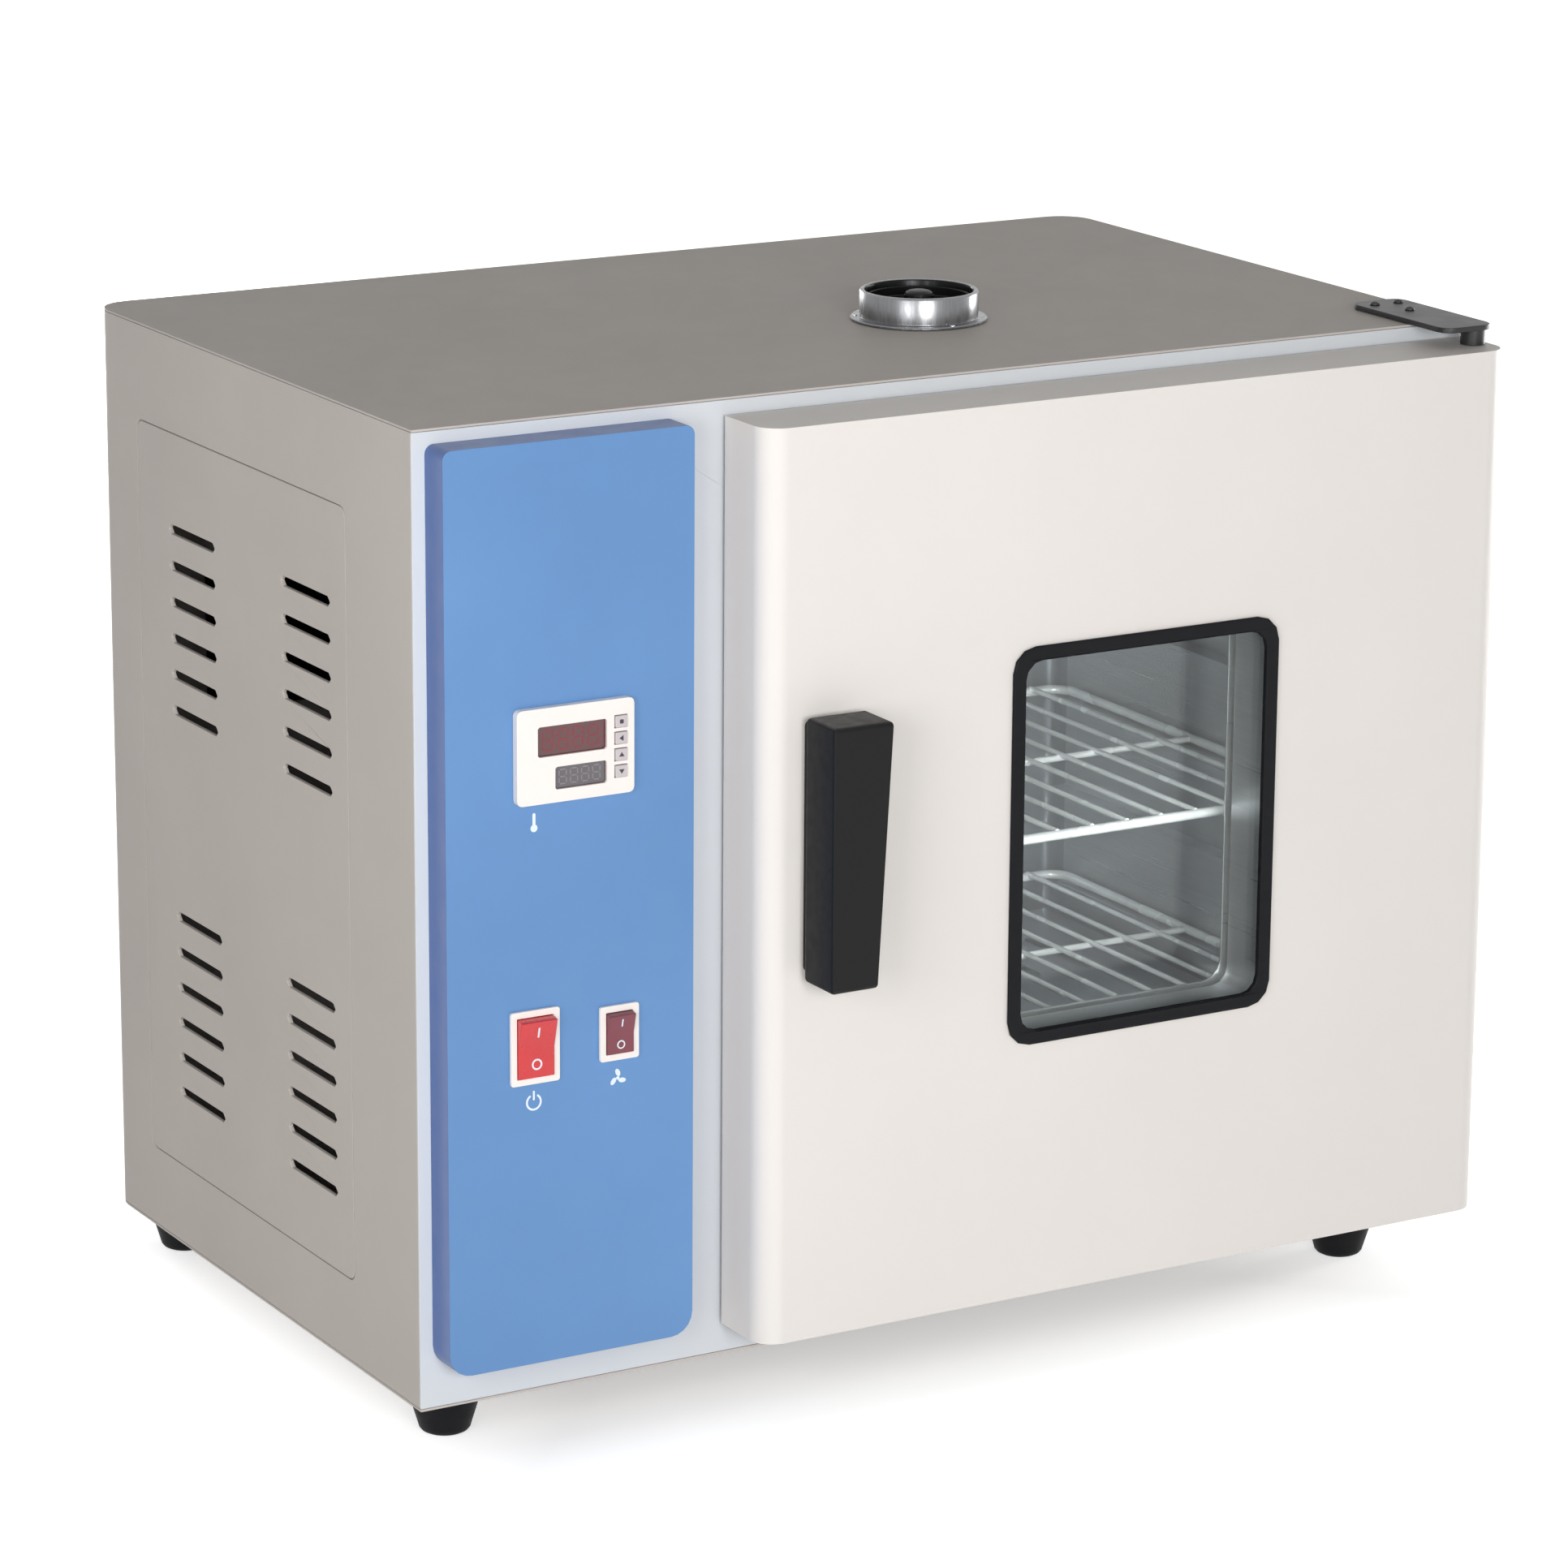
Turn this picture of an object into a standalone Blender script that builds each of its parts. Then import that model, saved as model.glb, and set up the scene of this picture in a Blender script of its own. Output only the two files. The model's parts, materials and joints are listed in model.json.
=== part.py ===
"""Bench drying oven with a glazed door, a control column and a fan-stirred chamber.

Metres, +Z up, front towards -Y, hinges on the right. The origin is at the middle
of the footprint, on the surface that the four feet stand on.
"""

import math

import bmesh
import bpy
from mathutils import Matrix, Vector

# Clearances and cuts
GAP = 0.0003
OVERRUN = 0.003
MERGE = 0.00001
ROUND_STEPS = 6
CORNER_STEPS = 3
ROUND_PROFILE_SHARE = 0.5

# Cabinet of folded sheet
BODY_WIDTH = 0.650
BODY_DEPTH = 0.398
BODY_HEIGHT = 0.525
SHEET = 0.0012
FLANGE = 0.012
REAR_RADIUS = 0.020
PARTITION_OFFSET = 0.196
PARTITION_SHEET = 0.001

# Feet
FOOT_HEIGHT = 0.029
FOOT_TOP_RADIUS = 0.020
FOOT_BOTTOM_RADIUS = 0.0145
FOOT_ROUNDING = 0.0035
FOOT_WASHER_RADIUS = 0.013
FOOT_WASHER_HEIGHT = 0.002
FOOT_INSET_X = 0.034
FOOT_INSET_FRONT = 0.040
FOOT_INSET_REAR = 0.024
FOOT_SIDES = 18

# Side cover with its pressed slots
COVER_FRONT = 0.078
COVER_REAR_MARGIN = 0.058
COVER_BOTTOM = 0.048
COVER_TOP_MARGIN = 0.055
COVER_RADIUS = 0.006
COVER_RIM = 0.008
COVER_RIM_SHEET = 0.001
COVER_SEAM = 0.0006
SLOT_LENGTH = 0.060
SLOT_HEIGHT = 0.0055
SLOT_PITCH = 0.0205
SLOT_ROWS = 6
SLOT_COLUMN_SHARES = (0.187, 0.733)
SLOT_GROUP_SHARES = (0.226, 0.751)

# Rear access cover with slots
REAR_COVER_LEFT = 0.042
REAR_COVER_WIDTH = 0.138
REAR_COVER_BOTTOM = 0.050
REAR_COVER_TOP_MARGIN = 0.055
REAR_COVER_LAP = 0.008
REAR_SLOT_LENGTH = 0.080
REAR_SLOT_HEIGHT = 0.005
REAR_SLOT_PITCH = 0.014
REAR_SLOT_ROWS = 6
REAR_SLOTS_SHARE = 0.667

# Chamber and what lines it
CHAMBER_OFFSET = 0.232
CHAMBER_SIDE_WALL = 0.058
CHAMBER_TOP_WALL = 0.085
CHAMBER_REAR_WALL = 0.0765
CHAMBER_BOTTOM_RISE = 0.090
CHAMBER_RADIUS = 0.008
LINER = 0.001
SEAL_MARGIN = 0.003
SEAL_WIDTH = 0.008
SEAL_ROUNDING = 0.0007

# Floor plate over the heater
FLOOR_HEIGHT = 0.025
FLOOR_CLEARANCE = 0.002
FLOOR_SLOT_LENGTH = 0.070
FLOOR_SLOT_WIDTH = 0.008
FLOOR_SLOT_MARGIN = 0.044
FLOOR_SLOT_COUNT = 8
FLOOR_SLOT_ROW_SHARE = 0.455

# Heater tube
HEATER_RADIUS = 0.004
HEATER_RISE = 0.014
HEATER_RUNS = 4
HEATER_PITCH = 0.062
HEATER_END_MARGIN = 0.050
HEATER_FLANGE_SHEET = 0.003
HEATER_FLANGE_HALF_HEIGHT = 0.0055
HEATER_FLANGE_MARGIN = 0.012

# Air duct, fan and motor
DUCT_DEPTH = 0.028
DUCT_FRONT_MARGIN = 0.014
DUCT_TOP_MARGIN = 0.050
DUCT_RADIUS = 0.004
DUCT_SLOT_LENGTH_SHARE = 0.75
DUCT_SLOT_WIDTH = 0.007
DUCT_SLOT_PITCH_SHARE = 0.161
DUCT_SLOT_COUNT = 5
DUCT_SLOT_MARGIN = 0.022
INTAKE_INNER_RADIUS = 0.012
INTAKE_OUTER_RADIUS = 0.042
INTAKE_SLOT_WIDTH = 0.008
INTAKE_SLOT_COUNT = 10
FAN_RISE_SHARE = 0.46
FAN_DEPTH_SHARE = 0.51
FAN_RADIUS = 0.055
FAN_EYE_RADIUS = 0.038
FAN_WIDTH = 0.018
FAN_PLATE = 0.0015
FAN_WALL_CLEARANCE = 0.004
FAN_BLADES = 20
FAN_SIDES = 32
BLADE_SHEET = 0.0012
BLADE_SWEEP = 24.0
BLADE_STEPS = 3
HUB_RADIUS = 0.009
HUB_LENGTH = 0.012
SHAFT_RADIUS = 0.004
SHAFT_HOLE_RADIUS = 0.0055
SHAFT_BURIED = 0.020
SHAFT_SIDES = 16
MOTOR_RADIUS = 0.042
MOTOR_LENGTH = 0.066
MOTOR_END_RADIUS = 0.022
MOTOR_END_LENGTH = 0.010
MOTOR_BEARING_CLEARANCE = 0.0004
MOTOR_SIDES = 28
MOUNT_SIZE = 0.104
MOUNT_SHEET = 0.002
MOUNT_RING_RADIUS = 0.026
MOUNT_RING_HEIGHT = 0.012

# Shelves and their racks
RACK_LEDGE = 0.012
RACK_SHEET = 0.0012
RACK_RISE = 0.045
RACK_TOP_MARGIN = 0.065
RACK_HEAD = 0.008
RACK_LEVELS = 4
RACK_FRONT_MARGIN = 0.020
RACK_BACK_MARGIN = 0.0165
SHELF_ROD_RADIUS = 0.0028
SHELF_WIRE_RADIUS = 0.0016
SHELF_WIRE_COUNT = 13
SHELF_CORNER_RADIUS = 0.014
SHELF_SIDE_CLEARANCE = 0.002
SHELF_WIRE_SETBACK = 0.012
SHELF_LEVELS = (0, 2)

# Temperature probe
PROBE_RADIUS = 0.0025
PROBE_REACH = 0.070
PROBE_TAIL = 0.018
PROBE_TOP_MARGIN = 0.026
PROBE_NUT_RADIUS = 0.0065
PROBE_NUT_THICKNESS = 0.004
PROBE_HOLE_RADIUS = 0.0032
PROBE_SIDES = 12

# Vent on the top
VENT_OFFSET = 0.384
VENT_SETBACK = 0.142
VENT_HEIGHT = 0.017
VENT_RADIUS = 0.033
VENT_WALL = 0.003
VENT_BASE_RADIUS = 0.038
VENT_BASE_SHEET = 0.0015
VENT_FLOOR_RISE = 0.0045
VENT_FLOOR_SHEET = 0.0015
VENT_DISC_SHEET = 0.0015
VENT_DISC_CLEARANCE = 0.0008
VENT_AXLE_RADIUS = 0.003
VENT_WINDOW_INNER_RADIUS = 0.0085
VENT_WINDOW_OUTER_RADIUS = 0.0190
VENT_WINDOW_SPAN = 80.0
VENT_WINDOWS = 2
VENT_SIDES = 28
VENT_SKIRT_WALL = 0.0014
VENT_SKIRT_DROP = 0.0035
VENT_KNOB_RADIUS = 0.0078
VENT_KNOB_HEIGHT = 0.0080
DUCT_PIPE_RADIUS = 0.0225
DUCT_PIPE_WALL = 0.0012
DUCT_PIPE_LIP = 0.006
DUCT_PIPE_RISE = 0.003

# Control column
PANEL_MARGIN_LEFT = 0.0072
PANEL_MARGIN_TOP = 0.008
PANEL_MARGIN_BOTTOM = 0.0235
PANEL_WIDTH = 0.1445
PANEL_PROUD = 0.020
PANEL_SHEET = 0.0025
PANEL_TOP_RADIUS = 0.005
PANEL_FOOT_RADIUS = 0.013
PANEL_STEPS = 5
PANEL_EDGE = 0.002
PANEL_BACK_LAP = 0.012

# Temperature controller
CONTROLLER_OFFSET = 0.0798
CONTROLLER_RISE = 0.354
BEZEL_WIDTH = 0.068
BEZEL_HEIGHT = 0.0505
BEZEL_DEPTH = 0.0045
BEZEL_WALL = 0.0016
BEZEL_RADIUS = 0.003
UPPER_WINDOW_ALONG = -0.002
UPPER_WINDOW_UP = 0.0075
UPPER_WINDOW_LENGTH = 0.040
UPPER_WINDOW_HEIGHT = 0.016
LOWER_WINDOW_ALONG = 0.003
LOWER_WINDOW_UP = -0.0125
LOWER_WINDOW_LENGTH = 0.030
LOWER_WINDOW_HEIGHT = 0.012
WINDOW_RADIUS_SMALL = 0.001
LENS_MARGIN = 0.002
LENS_SHEET = 0.001
CASE_MARGIN = 0.0045
CASE_DEPTH = 0.062
CASE_CLEARANCE = 0.0005
KEY_COLUMN_SHIFT = 0.0265
KEY_SIZE = 0.0068
KEY_HEIGHT = 0.0062
KEY_PITCH = 0.0088
KEY_COUNT = 4
KEY_PROUD = 0.0010
KEY_DEPTH = 0.0032
KEY_CLEARANCE = 0.0004
KEY_TRAVEL = 0.0005

# Rocker switches
ROCKER_FRAME_PROUD = 0.002
ROCKER_FRAME_RIM = 0.0035
ROCKER_FRAME_RADIUS = 0.0015
ROCKER_BODY_INSET = 0.0015
ROCKER_POCKET_SIDE = 0.0003
ROCKER_BODY_DEPTH = 0.024
ROCKER_POCKET_DEPTH = 0.010
ROCKER_PIVOT_DEPTH = 0.0005
ROCKER_THICKNESS = 0.006
ROCKER_TILT = 7.0
ROCKER_ARC_STEPS = 3
POWER_OFFSET = 0.057
POWER_RISE = 0.1984
POWER_WIDTH = 0.0285
POWER_HEIGHT = 0.040
FAN_SWITCH_OFFSET = 0.1065
FAN_SWITCH_RISE = 0.1989
FAN_SWITCH_WIDTH = 0.023
FAN_SWITCH_HEIGHT = 0.030

# Electrics inside the column and on the rear cover
RELAY_LENGTH = 0.070
RELAY_WIDTH = 0.056
RELAY_BASE = 0.006
RELAY_FIN_HEIGHT = 0.016
RELAY_FIN_COUNT = 7
RELAY_FIN_SHARE = 0.45
RELAY_SETBACK = 0.130
TERMINAL_LENGTH = 0.090
TERMINAL_WIDTH = 0.022
TERMINAL_HEIGHT = 0.018
TERMINAL_STEP = 0.008
TERMINAL_SETBACK = 0.285
COLUMN_MIDDLE_SHARE = 0.5
INLET_WIDTH = 0.050
INLET_HEIGHT = 0.028
INLET_FLANGE = 0.0025
INLET_BODY_WIDTH = 0.030
INLET_BODY_DEPTH = 0.024
INLET_RADIUS = 0.003
INLET_SOCKET_WIDTH = 0.0240
INLET_SOCKET_HEIGHT = 0.0165
INLET_SOCKET_DEPTH = 0.016
INLET_WALL = 0.002
INLET_RISE = 0.085
PIN_WIDTH = 0.002
PIN_HEIGHT = 0.004
PIN_PITCH = 0.007
PIN_REACH = 0.0135
FUSE_RISE = 0.130
FUSE_CAP_RADIUS = 0.0075
FUSE_CAP_REACH = 0.0022
FUSE_BODY_RADIUS = 0.006
FUSE_BODY_DEPTH = 0.030
FUSE_SIDES = 16

# Door
DOOR_OFFSET = 0.179
DOOR_TOP_DROP = 0.009
DOOR_BOTTOM_RISE = 0.0186
DOOR_STANDOFF = 0.003
DOOR_THICKNESS = 0.0436
DOOR_RADIUS = 0.014
DOOR_RADIUS_STEPS = 5
DOOR_LINER_RETURN = 0.010
WINDOW_WIDTH = 0.170
WINDOW_HEIGHT = 0.221
WINDOW_RISE = 0.163
WINDOW_RADIUS = 0.014
GASKET_WIDTH = 0.008
GASKET_LIP = 0.004
GASKET_PROUD = 0.0022
GLASS = 0.004
GLASS_LAP = 0.008
SPACER_LAP = 0.006

# Door hinges
HINGE_INSET = 0.010
HINGE_PLATE = 0.003
HINGE_PLATE_WIDTH = 0.034
HINGE_PLATE_INSET = 0.0022
HINGE_PLATE_BACK = 0.056
HINGE_PLATE_RADIUS = 0.008
HINGE_PIN_RADIUS = 0.004
HINGE_PIN_REACH = 0.014
HINGE_COLLAR_RADIUS = 0.007
HINGE_HOLE_CLEARANCE = 0.0003
HINGE_LEG_HEIGHT = 0.013
HINGE_SIDES = 16

# Door handle, a sprung lever
HANDLE_OFFSET = 0.0205
HANDLE_RISE = 0.221
HANDLE_HEIGHT = 0.143
HANDLE_TOP_WIDTH = 0.036
HANDLE_BOTTOM_WIDTH = 0.028
HANDLE_REACH = 0.036
HANDLE_WALL = 0.003
HANDLE_FRONT_WALL = 0.0035
HANDLE_RADIUS = 0.002
HANDLE_BACK_CLEARANCE = 0.0070
HANDLE_SWING = 20.0
BASE_SHEET = 0.004
BASE_INSET = 0.003
BASE_WIDTH = 0.024
BASE_RADIUS = 0.003
LEVER_PIN_INSET = 0.0085
LEVER_PIN_STANDOFF = 0.020
LEVER_PIN_RADIUS = 0.0022
LEVER_PIN_CLEARANCE = 0.0003
EAR_SHEET = 0.003
EAR_RADIUS = 0.0042
EAR_FOOT_NEAR = 0.0020
EAR_FOOT_FAR = 0.0130
EAR_CLEARANCE = 0.0004
TAB_WIDTH = 0.0045
TAB_HEIGHT = 0.012
LATCH_BAR_WIDTH = 0.004
LATCH_BAR_HEIGHT = 0.010
LATCH_BAR_CLEARANCE = 0.0005
LATCH_GUIDE_CLEARANCE = 0.0003
LATCH_SIDE_CLEARANCE = 0.0012
LATCH_TRAVEL = 0.0053
LATCH_NOSE = 0.004
LATCH_NOSE_THICKNESS = 0.003
LATCH_REACH = 0.010
KEEPER_SHEET = 0.0015
KEEPER_MARGIN = 0.007
KEEPER_SLOT_LEFT = 0.0015

# Turned steps of round cutters and screws of the model
HOLE_SIDES = 20
FACING_UP = (0.0, 0.0, 0.0)
FACING_FRONT = (math.pi / 2, 0.0, 0.0)
FACING_SIDE = (math.pi / 2, 0.0, math.pi / 2)
AXIS_X = (0.0, math.pi / 2, 0.0)
AXIS_Y = (math.pi / 2, 0.0, 0.0)

# Planes worked out from the sizes above
SKIN = SHEET + GAP
REAR_REACH = 2 * GAP + SHEET + INLET_FLANGE
TOTAL_DEPTH = HANDLE_REACH + DOOR_THICKNESS + DOOR_STANDOFF + BODY_DEPTH + REAR_REACH
LEFT = -BODY_WIDTH / 2
RIGHT = BODY_WIDTH / 2
BOTTOM = FOOT_HEIGHT
TOP = BOTTOM + BODY_HEIGHT
FRONT = -TOTAL_DEPTH / 2 + HANDLE_REACH + DOOR_THICKNESS + DOOR_STANDOFF
BACK = FRONT + BODY_DEPTH
CHAMBER_LEFT = LEFT + CHAMBER_OFFSET
CHAMBER_RIGHT = RIGHT - CHAMBER_SIDE_WALL
CHAMBER_FRONT = FRONT + SKIN
CHAMBER_BACK = BACK - CHAMBER_REAR_WALL
CHAMBER_BOTTOM = BOTTOM + CHAMBER_BOTTOM_RISE
CHAMBER_TOP = TOP - CHAMBER_TOP_WALL
CHAMBER_WIDTH = CHAMBER_RIGHT - CHAMBER_LEFT
CHAMBER_DEPTH = CHAMBER_BACK - CHAMBER_FRONT
CHAMBER_HEIGHT = CHAMBER_TOP - CHAMBER_BOTTOM
RACK_HEIGHT = CHAMBER_HEIGHT - RACK_RISE - RACK_TOP_MARGIN
RACK_PITCH = (RACK_HEIGHT - RACK_HEAD) / RACK_LEVELS
RACK_LENGTH = CHAMBER_BACK - FRONT - RACK_FRONT_MARGIN - RACK_BACK_MARGIN
COVER_LENGTH = BODY_DEPTH - COVER_FRONT - COVER_REAR_MARGIN
COVER_HEIGHT = BODY_HEIGHT - COVER_BOTTOM - COVER_TOP_MARGIN
REAR_COVER_HEIGHT = BODY_HEIGHT - REAR_COVER_BOTTOM - REAR_COVER_TOP_MARGIN
DUCT_FACE = CHAMBER_LEFT + DUCT_DEPTH
PARTITION_X = LEFT + PARTITION_OFFSET
COLUMN_MIDDLE = LEFT + PARTITION_OFFSET * COLUMN_MIDDLE_SHARE
FAN_Y = CHAMBER_FRONT + CHAMBER_DEPTH * FAN_DEPTH_SHARE
FAN_Z = CHAMBER_BOTTOM + CHAMBER_HEIGHT * FAN_RISE_SHARE
DOOR_LEFT = LEFT + DOOR_OFFSET
DOOR_RIGHT = RIGHT
DOOR_TOP = TOP - DOOR_TOP_DROP
DOOR_BOTTOM = BOTTOM + DOOR_BOTTOM_RISE
DOOR_BACK = FRONT - DOOR_STANDOFF
DOOR_FACE = DOOR_BACK - DOOR_THICKNESS
HINGE_X = DOOR_RIGHT - HINGE_INSET
HINGE_Y = DOOR_BACK - DOOR_THICKNESS / 2
WINDOW_X = (DOOR_LEFT + DOOR_RIGHT) / 2
WINDOW_Z = BOTTOM + WINDOW_RISE + WINDOW_HEIGHT / 2
HANDLE_LEFT = DOOR_LEFT + HANDLE_OFFSET
HANDLE_BOTTOM = BOTTOM + HANDLE_RISE
HANDLE_TOP = HANDLE_BOTTOM + HANDLE_HEIGHT
LEVER_X = HANDLE_LEFT + LEVER_PIN_INSET
LEVER_Y = DOOR_FACE - LEVER_PIN_STANDOFF
LATCH_Z = HANDLE_BOTTOM + HANDLE_HEIGHT / 2
LATCH_LEFT = LEVER_X + TAB_WIDTH / 2 + LATCH_BAR_CLEARANCE
PANEL_FACE = FRONT - GAP - PANEL_PROUD
VENT_X = LEFT + VENT_OFFSET
VENT_Y = FRONT + VENT_SETBACK

# Colours, roughness and metallic value of each finish
FINISHES = {
    "cabinet_paint": ((0.43, 0.41, 0.38), 0.45, 0.0),
    "door_paint": ((0.80, 0.77, 0.73), 0.35, 0.0),
    "panel_blue": ((0.13, 0.30, 0.66), 0.35, 0.0),
    "stainless": ((0.55, 0.56, 0.57), 0.30, 1.0),
    "bright_steel": ((0.75, 0.75, 0.76), 0.18, 1.0),
    "zinc_plate": ((0.50, 0.51, 0.52), 0.45, 1.0),
    "black_plastic": ((0.020, 0.020, 0.022), 0.45, 0.0),
    "black_metal": ((0.025, 0.025, 0.027), 0.40, 0.0),
    "black_rubber": ((0.018, 0.018, 0.020), 0.75, 0.0),
    "white_plastic": ((0.83, 0.81, 0.77), 0.40, 0.0),
    "grey_plastic": ((0.52, 0.50, 0.50), 0.50, 0.0),
    "red_plastic": ((0.62, 0.035, 0.035), 0.30, 0.0),
    "smoked_lens": ((0.10, 0.035, 0.045), 0.15, 0.0),
    "silicone": ((0.62, 0.20, 0.13), 0.65, 0.0),
    "glass_wool": ((0.72, 0.64, 0.42), 0.95, 0.0),
    "glass": ((0.70, 0.76, 0.76), 0.05, 0.0),
    "heater_steel": ((0.20, 0.19, 0.18), 0.50, 1.0),
    "motor_steel": ((0.30, 0.32, 0.34), 0.50, 0.8),
    "aluminium": ((0.66, 0.67, 0.68), 0.40, 1.0),
}


def start_scene():
    """Empty the scene and return the collections for the parts and the cutters."""
    for item in list(bpy.data.objects):
        bpy.data.objects.remove(item, do_unlink=True)
    collections = []
    for name in ("drying_oven", "cutters"):
        collection = bpy.data.collections.new(name)
        bpy.context.scene.collection.children.link(collection)
        collections.append(collection)
    return collections


PARTS, CUTTERS = start_scene()


def finish(name):
    """Material of one finish, made when it is first used."""
    found = bpy.data.materials.get(name)
    if found:
        return found
    colour, roughness, metallic = FINISHES[name]
    made = bpy.data.materials.new(name)
    made.use_nodes = True
    shader = made.node_tree.nodes["Principled BSDF"]
    shader.inputs["Base Color"].default_value = (*colour, 1.0)
    shader.inputs["Roughness"].default_value = roughness
    shader.inputs["Metallic"].default_value = metallic
    made.diffuse_color = (*colour, 1.0)
    return made


def place(name, mesh, location, rotation=FACING_UP, look=None):
    """Object of a mesh: a part with its finish, or a cutter where it has none."""
    item = bpy.data.objects.new(name, mesh)
    item.location = location
    item.rotation_euler = rotation
    if look:
        mesh.materials.append(finish(look))
        PARTS.objects.link(item)
    else:
        item.display_type = "WIRE"
        item.hide_render = True
        CUTTERS.objects.link(item)
    return item


def mesh_from(bm, name):
    """Mesh data of a bmesh, with its normals pointing out."""
    bmesh.ops.recalc_face_normals(bm, faces=bm.faces)
    mesh = bpy.data.meshes.new(name)
    bm.to_mesh(mesh)
    bm.free()
    return mesh


def box(name, low, high, look=None, round_edges=None, radius=0.0, steps=CORNER_STEPS):
    """Block between two corners, with the edges that round_edges picks rounded."""
    low, high = Vector(low), Vector(high)
    bm = bmesh.new()
    bmesh.ops.create_cube(bm, size=1.0)
    bmesh.ops.scale(bm, vec=high - low, verts=bm.verts)
    round_box(bm, round_edges, radius, steps)
    return place(name, mesh_from(bm, name), (low + high) / 2, look=look)


def round_box(bm, round_edges, radius, steps):
    """Round the edges that round_edges(middle, run) picks."""
    if not round_edges:
        return
    picked = []
    for edge in bm.edges:
        start, end = (vert.co for vert in edge.verts)
        if round_edges((start + end) / 2, end - start):
            picked.append(edge)
    bmesh.ops.bevel(bm, geom=picked, offset=radius, segments=steps, profile=ROUND_PROFILE_SHARE,
                    affect="EDGES", clamp_overlap=False)


def tray(name, low, high, open_sides, wall, look, outward=False,
         round_edges=None, radius=0.0, steps=CORNER_STEPS):
    """Folded sheet box between two corners, without the faces on open_sides."""
    low, high = Vector(low), Vector(high)
    bm = bmesh.new()
    bmesh.ops.create_cube(bm, size=1.0)
    bmesh.ops.scale(bm, vec=high - low, verts=bm.verts)
    round_box(bm, round_edges, radius, steps)
    bmesh.ops.recalc_face_normals(bm, faces=bm.faces)
    bm.normal_update()
    nearly_one_share = 0.99
    removed = [face for face in bm.faces
               if any(face.normal.dot(Vector(side)) > nearly_one_share for side in open_sides)]
    bmesh.ops.delete(bm, geom=removed, context="FACES")
    mesh = bpy.data.meshes.new(name)
    bm.to_mesh(mesh)
    bm.free()
    item = place(name, mesh, (low + high) / 2, look=look)
    sheet = item.modifiers.new("sheet", "SOLIDIFY")
    sheet.thickness = wall
    sheet.offset = 1.0 if outward else -1.0
    sheet.use_even_offset = True
    return item


def arc(centre, radius, start, end, steps=ROUND_STEPS):
    """Points on an arc from one angle in degrees to another, ends included."""
    points = []
    for step in range(steps + 1):
        angle = math.radians(start + (end - start) * step / steps)
        points.append((centre[0] + radius * math.cos(angle), centre[1] + radius * math.sin(angle)))
    return points


def rounded(centre, width, height, radius, steps=CORNER_STEPS):
    """Outline of a rectangle with round corners."""
    x, y = width / 2 - radius, height / 2 - radius
    points = []
    for index, (side, level) in enumerate(((x, y), (-x, y), (-x, -y), (x, -y))):
        corner = (centre[0] + side, centre[1] + level)
        points += arc(corner, radius, 90 * index, 90 * (index + 1), steps)
    return points


def uneven(centre, width, height, top_radius, foot_radius):
    """Outline of a panel whose top corners are tighter than its bottom ones."""
    points = []
    for index, (side, level) in enumerate(((1, 1), (-1, 1), (-1, -1), (1, -1))):
        radius = top_radius if level > 0 else foot_radius
        corner = (centre[0] + side * (width / 2 - radius),
                  centre[1] + level * (height / 2 - radius))
        points += arc(corner, radius, 90 * index, 90 * (index + 1), PANEL_STEPS)
    return points


def rectangle(low, high):
    """Outline of a rectangle between two corners."""
    return [low, (high[0], low[1]), high, (low[0], high[1])]


def circle(centre, radius, sides=HOLE_SIDES):
    """Outline of a circle."""
    return arc(centre, radius, 0, 360, sides)[:-1]


def oblong(centre, length, width, steps=CORNER_STEPS):
    """Outline of a slot with round ends, along the first axis."""
    half = (length - width) / 2
    return (arc((centre[0] + half, centre[1]), width / 2, -90, 90, steps)
            + arc((centre[0] - half, centre[1]), width / 2, 90, 270, steps))


def flat(name, outlines, thickness, location, facing=FACING_UP, look=None):
    """Plate of a flat outline, with the outlines after the first as its holes."""
    curve = bpy.data.curves.new(name, "CURVE")
    curve.dimensions = "2D"
    curve.fill_mode = "BOTH"
    curve.extrude = thickness / 2
    for outline in outlines:
        spline = curve.splines.new("POLY")
        spline.points.add(len(outline) - 1)
        for point, (x, y) in zip(spline.points, outline):
            point.co = (x, y, 0.0, 1.0)
        spline.use_cyclic_u = True
    guide = bpy.data.objects.new(name, curve)
    mesh = solid_of(guide, name)
    return place(name, mesh, location, facing, look)


def solid_of(guide, name):
    """Closed mesh of a curve object, which is removed."""
    CUTTERS.objects.link(guide)
    bpy.context.view_layer.update()
    graph = bpy.context.evaluated_depsgraph_get()
    source = bpy.data.meshes.new_from_object(guide.evaluated_get(graph))
    bm = bmesh.new()
    bm.from_mesh(source)
    bmesh.ops.remove_doubles(bm, verts=bm.verts, dist=MERGE)
    curve = guide.data
    bpy.data.objects.remove(guide, do_unlink=True)
    bpy.data.curves.remove(curve)
    bpy.data.meshes.remove(source)
    return mesh_from(bm, name)


def tube(name, points, radius, look=None, closed=False, resolution=1):
    """Round rod or tube along a run of points in world space."""
    curve = bpy.data.curves.new(name, "CURVE")
    curve.dimensions = "3D"
    curve.bevel_depth = radius
    curve.bevel_resolution = resolution
    curve.use_fill_caps = True
    spline = curve.splines.new("POLY")
    spline.points.add(len(points) - 1)
    for point, place_of in zip(spline.points, points):
        point.co = (*place_of, 1.0)
    spline.use_cyclic_u = closed
    guide = bpy.data.objects.new(name, curve)
    return place(name, solid_of(guide, name), (0.0, 0.0, 0.0), look=look)


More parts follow.
